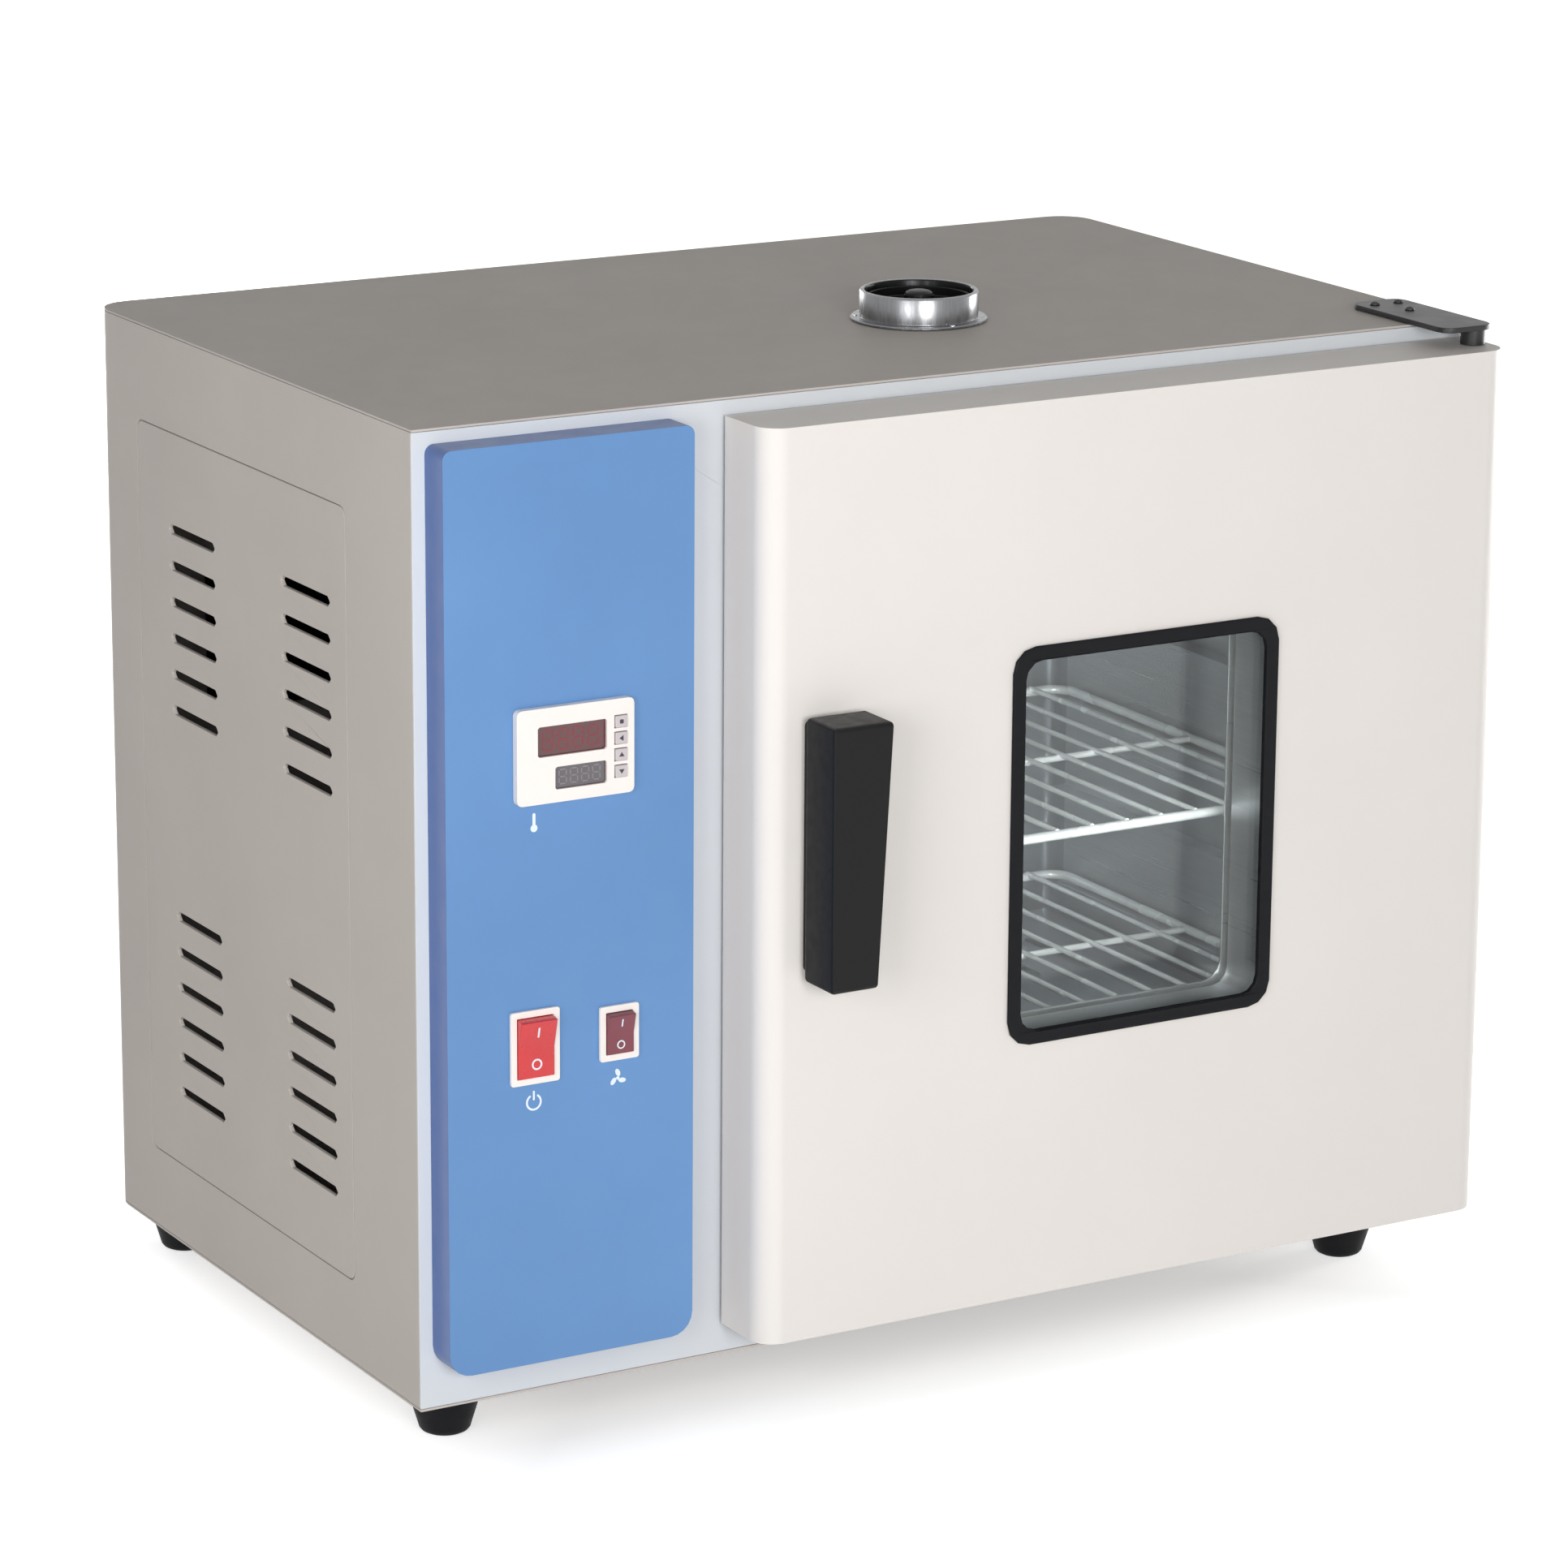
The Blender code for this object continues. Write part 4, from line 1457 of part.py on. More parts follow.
def make_handle(door, shell, liner, wool):
    """Lever handle on its base, the pin between them and the latch that it draws."""
    base_back = DOOR_FACE - GAP
    base_front = base_back - BASE_SHEET
    base_low = HANDLE_BOTTOM + HANDLE_WALL + EAR_CLEARANCE
    base_high = HANDLE_TOP - HANDLE_WALL - EAR_CLEARANCE
    base_left = HANDLE_LEFT + BASE_INSET
    base = flat("handle_base",
                [rounded((base_left + BASE_WIDTH / 2, (base_low + base_high) / 2), BASE_WIDTH,
                         base_high - base_low, BASE_RADIUS)],
                BASE_SHEET, (0.0, (base_back + base_front) / 2, 0.0), FACING_FRONT,
                "black_plastic")
    foot_y = base_front + BASE_SHEET / 2
    ear = [(LEVER_X + EAR_FOOT_FAR, foot_y), (LEVER_X + EAR_FOOT_NEAR, foot_y)]
    ear += arc((LEVER_X, LEVER_Y), EAR_RADIUS, 180, 360)
    for name, z in (("lower_ear", base_low + EAR_SHEET / 2), ("upper_ear", base_high - EAR_SHEET / 2)):
        add(base, flat(name, [ear], EAR_SHEET, (0.0, 0.0, z)))

    front = DOOR_FACE - HANDLE_REACH
    back = DOOR_FACE - HANDLE_BACK_CLEARANCE
    grip = flat("handle_grip", [handle_outline(0.0, 0.0, 0.0, 0.0)], back - front,
                (0.0, (front + back) / 2, 0.0), FACING_FRONT, "black_plastic")
    soften(grip, HANDLE_RADIUS)
    cavity_depth = back - front
    cavity = flat("grip_cavity",
                  [handle_outline(HANDLE_WALL, -HANDLE_WALL, HANDLE_WALL, HANDLE_WALL)],
                  cavity_depth, (0.0, front + HANDLE_FRONT_WALL + cavity_depth / 2, 0.0),
                  FACING_FRONT)
    cut(grip, cavity)
    tab_back = base_front - GAP
    tab = box("grip_tab",
              (HANDLE_LEFT + HANDLE_WALL / 2, LEVER_Y + LEVER_PIN_RADIUS + HANDLE_WALL,
               LATCH_Z - TAB_HEIGHT / 2),
              (LEVER_X + TAB_WIDTH / 2, tab_back - HANDLE_WALL, LATCH_Z + TAB_HEIGHT / 2))
    add(grip, tab)

    pin_low, pin_high = HANDLE_BOTTOM + HANDLE_WALL / 3, HANDLE_TOP - HANDLE_WALL / 3
    pin = rod("handle_pin", (LEVER_X, LEVER_Y, pin_low), pin_high - pin_low, LEVER_PIN_RADIUS,
              look="bright_steel", sides=SHAFT_SIDES)
    bore = rod("pin_bore", (LEVER_X, LEVER_Y, pin_low - LEVER_PIN_CLEARANCE),
               pin_high - pin_low + 2 * LEVER_PIN_CLEARANCE,
               LEVER_PIN_RADIUS + LEVER_PIN_CLEARANCE, sides=SHAFT_SIDES)
    cut(grip, bore)
    cut(base, bore)

    bar_front = LEVER_Y + LEVER_PIN_RADIUS + HANDLE_WALL
    bar_back = FRONT + LATCH_REACH
    half = LATCH_BAR_HEIGHT / 2
    latch = box("latch_hook", (LATCH_LEFT, bar_front, LATCH_Z - half),
                (LATCH_LEFT + LATCH_BAR_WIDTH, bar_back, LATCH_Z + half), "bright_steel")
    nose = box("latch_nose",
               (LATCH_LEFT - LATCH_NOSE, bar_back - LATCH_NOSE_THICKNESS, LATCH_Z - half),
               (LATCH_LEFT + LATCH_BAR_WIDTH / 2, bar_back, LATCH_Z + half))
    add(latch, nose)
    guide = box("latch_guide",
                (LATCH_LEFT - LATCH_SIDE_CLEARANCE, base_front - OVERRUN,
                 LATCH_Z - half - LATCH_GUIDE_CLEARANCE),
                (LATCH_LEFT + LATCH_BAR_WIDTH + LATCH_TRAVEL + LATCH_SIDE_CLEARANCE,
                 DOOR_BACK + OVERRUN, LATCH_Z + half + LATCH_GUIDE_CLEARANCE))
    for piece in (base, shell, liner, wool):
        cut(piece, guide)
    make_keeper()
    door_pieces = carry("handle_mount", (LEVER_X, LEVER_Y, LATCH_Z), [base, pin], door)
    carry("handle_axis", (LEVER_X, LEVER_Y, LATCH_Z), [grip], door_pieces)
    carry("latch_axis", (LATCH_LEFT, bar_back, LATCH_Z), [latch], door_pieces)


def make_keeper():
    """Keeper plate behind the fascia, round the latch's slot."""
    slot = latch_slot(SHEET)
    (low_x, low_z), (high_x, high_z) = slot[0], slot[2]
    outline = rectangle((low_x - KEEPER_MARGIN, low_z - KEEPER_MARGIN),
                        (high_x + KEEPER_MARGIN, high_z + KEEPER_MARGIN))
    flat("latch_keeper", [outline, slot], KEEPER_SHEET,
         (0.0, FRONT + SKIN + KEEPER_SHEET / 2, 0.0), FACING_FRONT, "bright_steel")


def shade_parts():
    """Smooth shading with sharp folds on every part."""
    for item in PARTS.objects:
        if item.type == "MESH":
            item.data.shade_smooth()
            item.data.set_sharp_from_angle(angle=math.radians(30))


def main():
    wrap, top, partition = make_cabinet()
    liner, wool = make_chamber(partition)
    make_duct()
    make_fan(liner, wool, partition)
    make_racks_and_shelves()
    make_vent(liner, wool, top)
    make_feet()
    make_controls()
    make_electrics()
    make_hinges()
    door, shell, door_liner, door_wool = make_door()
    make_handle(door, shell, door_liner, door_wool)
    shade_parts()


main()
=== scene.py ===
"""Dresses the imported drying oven: finishes, fine pieces, stage, lamps and camera."""
import json
import math

import bmesh
import bpy
from mathutils import Matrix, Vector
from mathutils.bvhtree import BVHTree


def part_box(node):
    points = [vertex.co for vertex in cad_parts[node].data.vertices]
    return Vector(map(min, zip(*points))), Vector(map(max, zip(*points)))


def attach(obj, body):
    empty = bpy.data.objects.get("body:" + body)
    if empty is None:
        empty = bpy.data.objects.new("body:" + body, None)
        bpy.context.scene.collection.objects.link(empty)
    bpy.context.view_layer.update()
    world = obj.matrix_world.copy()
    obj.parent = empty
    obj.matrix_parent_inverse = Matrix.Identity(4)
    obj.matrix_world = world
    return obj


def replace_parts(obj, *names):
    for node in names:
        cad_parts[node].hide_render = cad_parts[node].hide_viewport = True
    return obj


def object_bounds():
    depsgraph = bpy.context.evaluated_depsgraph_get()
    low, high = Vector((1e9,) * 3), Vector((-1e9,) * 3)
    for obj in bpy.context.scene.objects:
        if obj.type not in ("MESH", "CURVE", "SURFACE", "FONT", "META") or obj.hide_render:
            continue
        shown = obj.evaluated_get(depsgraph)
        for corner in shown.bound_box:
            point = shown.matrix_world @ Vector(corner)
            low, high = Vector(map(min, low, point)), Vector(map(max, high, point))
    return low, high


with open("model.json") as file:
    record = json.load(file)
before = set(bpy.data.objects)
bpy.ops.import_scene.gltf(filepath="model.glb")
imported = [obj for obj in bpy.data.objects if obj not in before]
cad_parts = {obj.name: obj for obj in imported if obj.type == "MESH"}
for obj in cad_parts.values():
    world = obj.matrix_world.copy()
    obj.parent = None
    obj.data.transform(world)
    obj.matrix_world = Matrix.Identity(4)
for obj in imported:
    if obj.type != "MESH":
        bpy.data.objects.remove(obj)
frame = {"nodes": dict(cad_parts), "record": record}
cad_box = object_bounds()
NODES = frame["nodes"]
TREES = {}

UP = Vector((0, 0, 1))
DOWN = Vector((0, 0, -1))
FRONTWARD = Vector((0, -1, 0))
BACKWARD = Vector((0, 1, 0))
RIGHTWARD = Vector((1, 0, 0))


# ---------------------------------------------------------------- finishes

def srgb(red, green, blue):
    """Linear colour of an 8-bit screen colour."""
    return tuple([(v / 255 / 12.92) if v / 255 <= 0.04045 else ((v / 255 + 0.055) / 1.055) ** 2.4
                  for v in (red, green, blue)] + [1.0])


def shade(colour, factor):
    """The colour made lighter or darker."""
    return tuple([min(1.0, v * factor) for v in colour[:3]] + [1.0])


class Look:
    """One node material around a Principled shader."""

    def __init__(self, name, **sockets):
        self.material = bpy.data.materials.new(name)
        self.material.use_nodes = True
        self.tree = self.material.node_tree
        self.shader = self.tree.nodes["Principled BSDF"]
        self.coords = self.tree.nodes.new("ShaderNodeTexCoord").outputs["Object"]
        for key, value in sockets.items():
            self.shader.inputs[key.replace("_", " ")].default_value = value

    def noise(self, scale, detail=2.0, stretch=None, rough=0.5):
        """Grey noise of a size, drawn out along an axis where stretch says so."""
        source = self.coords
        if stretch:
            mapping = self.tree.nodes.new("ShaderNodeMapping")
            mapping.inputs["Scale"].default_value = stretch
            self.tree.links.new(self.coords, mapping.inputs["Vector"])
            source = mapping.outputs["Vector"]
        node = self.tree.nodes.new("ShaderNodeTexNoise")
        node.inputs["Scale"].default_value = scale
        node.inputs["Detail"].default_value = detail
        node.inputs["Roughness"].default_value = rough
        self.tree.links.new(source, node.inputs["Vector"])
        return node.outputs["Fac"]

    def cells(self, scale, feature="F1"):
        """Distance to the nearest cell point, for grains and fibres."""
        node = self.tree.nodes.new("ShaderNodeTexVoronoi")
        node.feature = feature
        node.inputs["Scale"].default_value = scale
        self.tree.links.new(self.coords, node.inputs["Vector"])
        return node.outputs["Distance"]

    def spread(self, factor, low, high, start=0.3, end=0.7):
        """A factor stretched to a range of numbers."""
        node = self.tree.nodes.new("ShaderNodeMapRange")
        for key, value in (("From Min", start), ("From Max", end), ("To Min", low),
                           ("To Max", high)):
            node.inputs[key].default_value = value
        self.tree.links.new(factor, node.inputs["Value"])
        return node.outputs["Result"]

    def colour(self, factor, first, second, start=0.3, end=0.7):
        """Base colour that goes from one colour to another with the factor."""
        ramp = self.tree.nodes.new("ShaderNodeValToRGB")
        ramp.color_ramp.elements[0].position = start
        ramp.color_ramp.elements[1].position = end
        ramp.color_ramp.elements[0].color = first
        ramp.color_ramp.elements[1].color = second
        self.tree.links.new(factor, ramp.inputs["Fac"])
        self.tree.links.new(ramp.outputs["Color"], self.shader.inputs["Base Color"])

    def rough(self, factor, low, high):
        """Roughness that varies with the factor."""
        self.tree.links.new(self.spread(factor, low, high), self.shader.inputs["Roughness"])

    def bump(self, height, distance):
        """Relief of a height in metres."""
        node = self.tree.nodes.new("ShaderNodeBump")
        node.inputs["Distance"].default_value = distance
        node.inputs["Strength"].default_value = 1.0
        self.tree.links.new(height, node.inputs["Height"])
        self.tree.links.new(node.outputs["Normal"], self.shader.inputs["Normal"])

    def under(self, factor, colour):
        """Another colour where the factor is nought, the base colour where it is one."""
        mix = self.tree.nodes.new("ShaderNodeMix")
        mix.data_type = "RGBA"
        ends = [socket for socket in mix.inputs if socket.type == "RGBA"]
        ends[0].default_value = colour
        base = self.shader.inputs["Base Color"]
        self.tree.links.new(base.links[0].from_socket, ends[1])
        self.tree.links.new(factor, mix.inputs[0])
        self.tree.links.new([socket for socket in mix.outputs if socket.type == "RGBA"][0], base)

    def painted_shade_flanks(self, colour):
        """Painted shade: another colour on the faces that look neither to the front nor to the
        back.
        """
        facing = self.tree.nodes.new("ShaderNodeSeparateXYZ")
        self.tree.links.new(self.coords.node.outputs["Normal"], facing.inputs[0])
        size = self.tree.nodes.new("ShaderNodeMath")
        size.operation = "ABSOLUTE"
        self.tree.links.new(facing.outputs["Y"], size.inputs[0])
        self.under(self.spread(size.outputs[0], 0.0, 1.0, 0.45, 0.85), colour)

    def bore(self, centre, radius, colour):
        """Painted shade: another colour nearer than a radius to an upright axis."""
        flat = self.tree.nodes.new("ShaderNodeMapping")
        flat.inputs["Location"].default_value = (-centre.x, -centre.y, 0.0)
        flat.inputs["Scale"].default_value = (1.0, 1.0, 0.0)
        self.tree.links.new(self.coords, flat.inputs["Vector"])
        reach = self.tree.nodes.new("ShaderNodeVectorMath")
        reach.operation = "LENGTH"
        self.tree.links.new(flat.outputs["Vector"], reach.inputs[0])
        self.under(self.spread(reach.outputs["Value"], 0.0, 1.0, radius, radius + 0.0002), colour)


def paint(name, colour, rough, peel=0.00003, spread=0.025, coat=0.0, shine=0.5):
    """Powder coat: mottled a little, with the fine waves of orange peel."""
    look = Look(name, Coat_Weight=coat, Coat_Roughness=0.25, Specular_IOR_Level=shine)
    look.colour(look.noise(9.0, 4.0), shade(colour, 1 - spread), shade(colour, 1 + spread))
    look.rough(look.noise(60.0, 3.0), rough - 0.03, rough + 0.03)
    look.bump(look.noise(650.0, 2.0), peel)
    return look.material


def brushed_look(name, colour, rough, grain, depth=0.000012, metal=1.0):
    """Rolled or brushed metal with its lines along one way."""
    look = Look(name, Metallic=metal)
    lines = look.noise(1.0, 3.0, stretch=grain, rough=0.65)
    look.colour(lines, shade(colour, 0.90), shade(colour, 1.08))
    streaks = look.noise(1.0, 2.0, stretch=tuple(v * 0.4 for v in grain))
    look.rough(streaks, rough - 0.07, rough + 0.09)
    look.bump(lines, depth)
    return look


def brushed(*settings, **more):
    """The material of a brushed look."""
    return brushed_look(*settings, **more).material


def plastic(name, colour, rough, grain=0.00002, size=1100.0, spread=0.04, **sockets):
    """Moulded plastic with a fine spark-eroded grain."""
    look = Look(name, **sockets)
    look.colour(look.noise(30.0, 3.0), shade(colour, 1 - spread), shade(colour, 1 + spread))
    look.rough(look.noise(150.0, 2.0), rough - 0.05, rough + 0.06)
    look.bump(look.noise(size, 1.0), grain)
    return look.material


def spangled(name, colour, rough):
    """Zinc plate with its crystals."""
    look = Look(name, Metallic=1.0)
    look.colour(look.cells(130.0), shade(colour, 0.86), shade(colour, 1.10), 0.0, 0.8)
    look.rough(look.cells(130.0), rough - 0.06, rough + 0.10)
    look.bump(look.noise(500.0, 2.0), 0.00001)
    return look.material


def make_wool():
    """Glass wool: crossed fibres in a loose mat."""
    look = Look("glass_wool", Roughness=0.95, Sheen_Weight=0.2)
    fibres = look.noise(1.0, 5.0, stretch=(90.0, 420.0, 90.0), rough=0.8)
    look.colour(fibres, srgb(196, 170, 104), srgb(236, 218, 160))
    look.bump(fibres, 0.0016)
    return look.material


def make_glass():
    """Clear window glass with the green tinge of its iron."""
    look = Look("glass", Base_Color=srgb(250, 253, 252), Transmission_Weight=1.0, IOR=1.32)
    look.rough(look.noise(14.0, 4.0), 0.0, 0.02)
    return look.material


def make_lens():
    """Smoked red lens of the display."""
    look = Look("smoked_lens", Coat_Weight=0.6, Coat_Roughness=0.05)
    look.colour(look.noise(25.0, 2.0), srgb(74, 30, 36), srgb(94, 42, 48))
    look.rough(look.noise(80.0, 2.0), 0.10, 0.20)
    look.bump(look.noise(300.0, 1.0), 0.000003)
    return look.material


def make_panel_blue_with_painted_shade():
    """Blue front of the control panel; its raised sides get a darker blue, which is painted shade.
    """
    look = Look("panel_blue", Coat_Weight=0.25, Coat_Roughness=0.25)
    look.colour(look.noise(9.0, 4.0), srgb(88, 133, 185), srgb(93, 139, 192))
    # painted shade: the sides of the raised panel are given a darker blue than its front
    look.painted_shade_flanks(srgb(62, 96, 160))
    look.rough(look.noise(60.0, 3.0), 0.33, 0.43)
    look.bump(look.noise(650.0, 2.0), 0.00002)
    return look.material


def make_chamber_steel():
    """Mill-finished stainless sheet, a little wavy."""
    look = Look("chamber_steel", Metallic=0.75)
    look.colour(look.noise(7.0, 4.0), srgb(152, 157, 164), srgb(164, 169, 176))
    look.rough(look.noise(9.0, 2.0), 0.32, 0.38)
    look.bump(look.noise(6.0, 0.0), 0.0008)
    return look.material


def make_heater():
    """Steel tube turned brown and blue by heat."""
    look = Look("heater_steel", Metallic=1.0)
    look.colour(look.noise(22.0, 5.0), srgb(98, 84, 78), srgb(150, 132, 112))
    look.rough(look.noise(160.0, 3.0), 0.42, 0.62)
    look.bump(look.noise(700.0, 2.0), 0.00002)
    return look.material


LOOKS = {
    "cabinet_paint": paint("cabinet_paint", srgb(198, 191, 185), 0.52, 0.00004, shine=0.07),
    "door_paint": paint("door_paint", srgb(229, 224, 219), 0.48, 0.00003, 0.012, shine=0.30),
    "panel_blue": make_panel_blue_with_painted_shade(),
    "stainless": brushed("stainless", srgb(190, 192, 194), 0.34, (16.0, 16.0, 2200.0),
                         depth=0.000004),
    "bright_steel": brushed("bright_steel", srgb(214, 215, 217), 0.20, (700.0, 700.0, 40.0)),
    "zinc_plate": spangled("zinc_plate", srgb(178, 182, 186), 0.42),
    "black_plastic": plastic("black_plastic", srgb(13, 13, 15), 0.40, 0.00003,
                             Specular_IOR_Level=0.20),
    "black_metal": paint("black_metal", srgb(22, 22, 24), 0.42, 0.00003, 0.08),
    "black_rubber": plastic("black_rubber", srgb(13, 14, 17), 0.55, 0.00004, 600.0, 0.10,
                            Specular_IOR_Level=0.15),
    "white_plastic": plastic("white_plastic", srgb(240, 234, 229), 0.36, 0.00001, 1300.0, 0.012),
    "grey_plastic": plastic("grey_plastic", srgb(198, 190, 192), 0.45, 0.00001, 1300.0, 0.03),
    "red_plastic": plastic("red_plastic", srgb(206, 34, 40), 0.24, 0.000006, 500.0, 0.08,
                           Coat_Weight=0.4, Coat_Roughness=0.1),
    "smoked_lens": make_lens(),
    "silicone": plastic("silicone", srgb(196, 118, 96), 0.58, 0.00002, 500.0, 0.05),
    "glass_wool": make_wool(),
    "glass": make_glass(),
    "heater_steel": make_heater(),
    "motor_steel": paint("motor_steel", srgb(112, 118, 124), 0.44, 0.00002, 0.06),
    "aluminium": brushed("aluminium", srgb(205, 207, 209), 0.34, (300.0, 300.0, 300.0)),
}
FASCIA = paint("fascia_paint", srgb(211, 215, 219), 0.46, 0.00003, 0.012, shine=0.35)
CHAMBER_STEEL = make_chamber_steel()
# bright steel wire, made near-white and only a fifth metal so that it reads light through the
# window: partly its own colour, partly a painted highlight
WIRE_STEEL_PAINTED_HIGHLIGHT = brushed("wire_steel", srgb(244, 246, 248), 0.24, (60.0, 60.0, 60.0), depth=0.000001,
                     metal=0.2)
MAROON = plastic("maroon_plastic", srgb(122, 58, 70), 0.34, 0.00001, 900.0, 0.06)
INK = plastic("white_ink", srgb(226, 236, 244), 0.55, 0.000004, 1500.0, 0.02)
DARK_INK = plastic("dark_ink", srgb(58, 56, 62), 0.55, 0.000004, 1500.0, 0.05)
GREY_LENS = plastic("grey_lens", srgb(88, 84, 88), 0.22, 0.000004, 600.0, 0.06,
                    Coat_Weight=0.5, Coat_Roughness=0.06)


# ---------------------------------------------------------------- mesh helpers

def arc(centre, radius, start, end, steps):
    """Points on an arc, in degrees."""
    return [(centre[0] + radius * math.cos(math.radians(start + (end - start) * i / steps)),
             centre[1] + radius * math.sin(math.radians(start + (end - start) * i / steps)))
            for i in range(steps + 1)]


def circle(radius, steps=48, centre=(0.0, 0.0)):
    """Points of a circle."""
    return arc(centre, radius, 0, 360, steps)[:-1]


def rounded(width, height, radius, steps=8, centre=(0.0, 0.0)):
    """Outline of a rectangle with round corners."""
    x, y = width / 2 - radius, height / 2 - radius
    points = []
    for index, (side, level) in enumerate(((x, y), (-x, y), (-x, -y), (x, -y))):
        points += arc((centre[0] + side, centre[1] + level), radius, 90 * index, 90 * index + 90,
                      steps)
    return points


def turn_to(facing, up=None):
    """Rotation whose Z looks along facing, with Y near up."""
    z = facing.normalized()
    up = up or (UP if abs(z.z) < 0.9 else BACKWARD)
    x = up.cross(z).normalized()
    return Matrix((x, z.cross(x), z)).transposed().to_4x4()


def piece(name, mesh, look, body, matrix=None, angle=35.0):
    """A named object of a mesh, which rides on a CAD body."""
    mesh.materials.clear()
    mesh.materials.append(LOOKS[look] if isinstance(look, str) else look)
    item = bpy.data.objects.new(name, mesh)
    bpy.context.scene.collection.objects.link(item)
    if matrix is not None:
        mesh.transform(matrix)
    mesh.shade_smooth()
    mesh.set_sharp_from_angle(angle=math.radians(angle))
    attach(item, body)
    return item


def evaluated(item):
    """Mesh of an object with its modifiers, after which the object is gone."""
    bpy.context.view_layer.update()
    graph = bpy.context.evaluated_depsgraph_get()
    mesh = bpy.data.meshes.new_from_object(item.evaluated_get(graph), depsgraph=graph)
    bpy.data.objects.remove(item)
    return mesh


def plate(outlines, thickness, edge=0.0, steps=2):
    """Solid between outlines, from z = 0 up to its thickness, with softened edges."""
    curve = bpy.data.curves.new("outline", "CURVE")
    curve.dimensions = "2D"
    curve.fill_mode = "BOTH"
    curve.extrude = thickness / 2 - edge
    curve.bevel_depth = edge
    curve.bevel_resolution = steps
    curve.offset = -edge
    for outline in outlines:
        spline = curve.splines.new("POLY")
        spline.points.add(len(outline) - 1)
        for point, (x, y) in zip(spline.points, outline):
            point.co = (x, y, 0.0, 1.0)
        spline.use_cyclic_u = True
    item = bpy.data.objects.new("outline", curve)
    bpy.context.scene.collection.objects.link(item)
    mesh = evaluated(item)
    mesh.transform(Matrix.Translation((0, 0, thickness / 2)))
    solid = bmesh.new()
    solid.from_mesh(mesh)
    bmesh.ops.remove_doubles(solid, verts=solid.verts, dist=0.000001)
    bmesh.ops.recalc_face_normals(solid, faces=solid.faces)
    solid.to_mesh(mesh)
    solid.free()
    return mesh


def lathe(profile, steps=64, closed=False):
    """Solid turned about Z from (radius, height) points."""
    solid = bmesh.new()
    rings = []
    for radius, height in profile:
        if radius < 0.0000001:
            rings.append([solid.verts.new((0, 0, height))])
        else:
            rings.append([solid.verts.new((x, y, height)) for x, y in circle(radius, steps)])
    pairs = list(zip(rings, rings[1:] + rings[:1] if closed else rings[1:]))
    for first, second in pairs:
        for i in range(steps):
            j = (i + 1) % steps
            if len(first) == 1 and len(second) == 1:
                continue
            if len(first) == 1:
                corners = (first[0], second[i], second[j])
            elif len(second) == 1:
                corners = (first[i], second[0], first[j])
            else:
                corners = (first[i], second[i], second[j], first[j])
            solid.faces.new(corners)
    bmesh.ops.recalc_face_normals(solid, faces=solid.faces)
    mesh = bpy.data.meshes.new("lathe")
    solid.to_mesh(mesh)
    solid.free()
    return mesh


def ring(path_size, path_radius, profile, steps=10):
    """A profile of (outward, up) points led round a rectangle with round corners, in XY."""
    width, height = path_size
    x, y = width / 2 - path_radius, height / 2 - path_radius
    path = []
    for index, (side, level) in enumerate(((x, y), (-x, y), (-x, -y), (x, -y))):
        for step in range(steps + 1):
            angle = math.radians(90 * index + 90 * step / steps)
            out = Vector((math.cos(angle), math.sin(angle)))
            path.append((Vector((side, level)) + out * path_radius, out))
    solid = bmesh.new()
    rows = [[solid.verts.new((spot.x + out.x * a, spot.y + out.y * a, b)) for a, b in profile]
            for spot, out in path]
    for row, after in zip(rows, rows[1:] + rows[:1]):
        for i in range(len(profile)):
            j = (i + 1) % len(profile)
            solid.faces.new((row[i], row[j], after[j], after[i]))
    bmesh.ops.recalc_face_normals(solid, faces=solid.faces)
    mesh = bpy.data.meshes.new("ring")
    solid.to_mesh(mesh)
    solid.free()
    return mesh


def cut(mesh, *tools):
    """The mesh with the tools taken out of it."""
    target = bpy.data.objects.new("target", mesh)
    bpy.context.scene.collection.objects.link(target)
    others = []
    for tool in tools:
        other = bpy.data.objects.new("tool", tool)
        bpy.context.scene.collection.objects.link(other)
        others.append(other)
        step = target.modifiers.new("cut", "BOOLEAN")
        step.operation = "DIFFERENCE"
        step.solver = "EXACT"
        step.object = other
    result = evaluated(target)
    for other in others:
        bpy.data.objects.remove(other)
    return result


def merged(parts):
    """One mesh of (mesh, matrix) parts."""
    solid = bmesh.new()
    for mesh, matrix in parts:
        copy = mesh.copy()
        copy.transform(matrix)
        solid.from_mesh(copy)
        bpy.data.meshes.remove(copy)
    mesh = bpy.data.meshes.new("merged")
    solid.to_mesh(mesh)
    solid.free()
    return mesh


def wires(name, runs, look, body):
    """Round wires: one object of (points, radius, closed) runs."""
    parts = []
    for points, radius, closed in runs:
        curve = bpy.data.curves.new("wire", "CURVE")
        curve.dimensions = "3D"
        curve.bevel_depth = radius
        curve.bevel_resolution = 3
        curve.use_fill_caps = not closed
        spline = curve.splines.new("POLY")
        spline.points.add(len(points) - 1)
        for point, place in zip(spline.points, points):
            point.co = (*place, 1.0)
        spline.use_cyclic_u = closed
        item = bpy.data.objects.new("wire", curve)
        bpy.context.scene.collection.objects.link(item)
        parts.append((evaluated(item), Matrix.Identity(4)))
    return piece(name, merged(parts), look, body, angle=50.0)


def surface(node, start, direction):
    """Where a ray from start meets a CAD node, and the outward normal there."""
    if node not in TREES:
        mesh = NODES[node].data
        TREES[node] = BVHTree.FromPolygons([v.co for v in mesh.vertices],
                                           [tuple(p.vertices) for p in mesh.polygons])
    place, normal, _, _ = TREES[node].ray_cast(Vector(start), direction.normalized())
    if place is None:
        raise ValueError("the ray from %s misses %s" % (tuple(start), node))
    return place, (-normal if normal.dot(direction) > 0 else normal)


def mark(name, outlines, node, aim, direction, look, body, up=UP, thick=0.00012):
    """A printed mark on a CAD node, where a ray towards aim meets it."""
    place, normal = surface(node, Vector(aim) - direction * 0.2, direction)
    matrix = Matrix.Translation(place - normal * thick * 0.25) @ turn_to(normal, up)
    return piece(name, plate(outlines, thick), look, body, matrix)


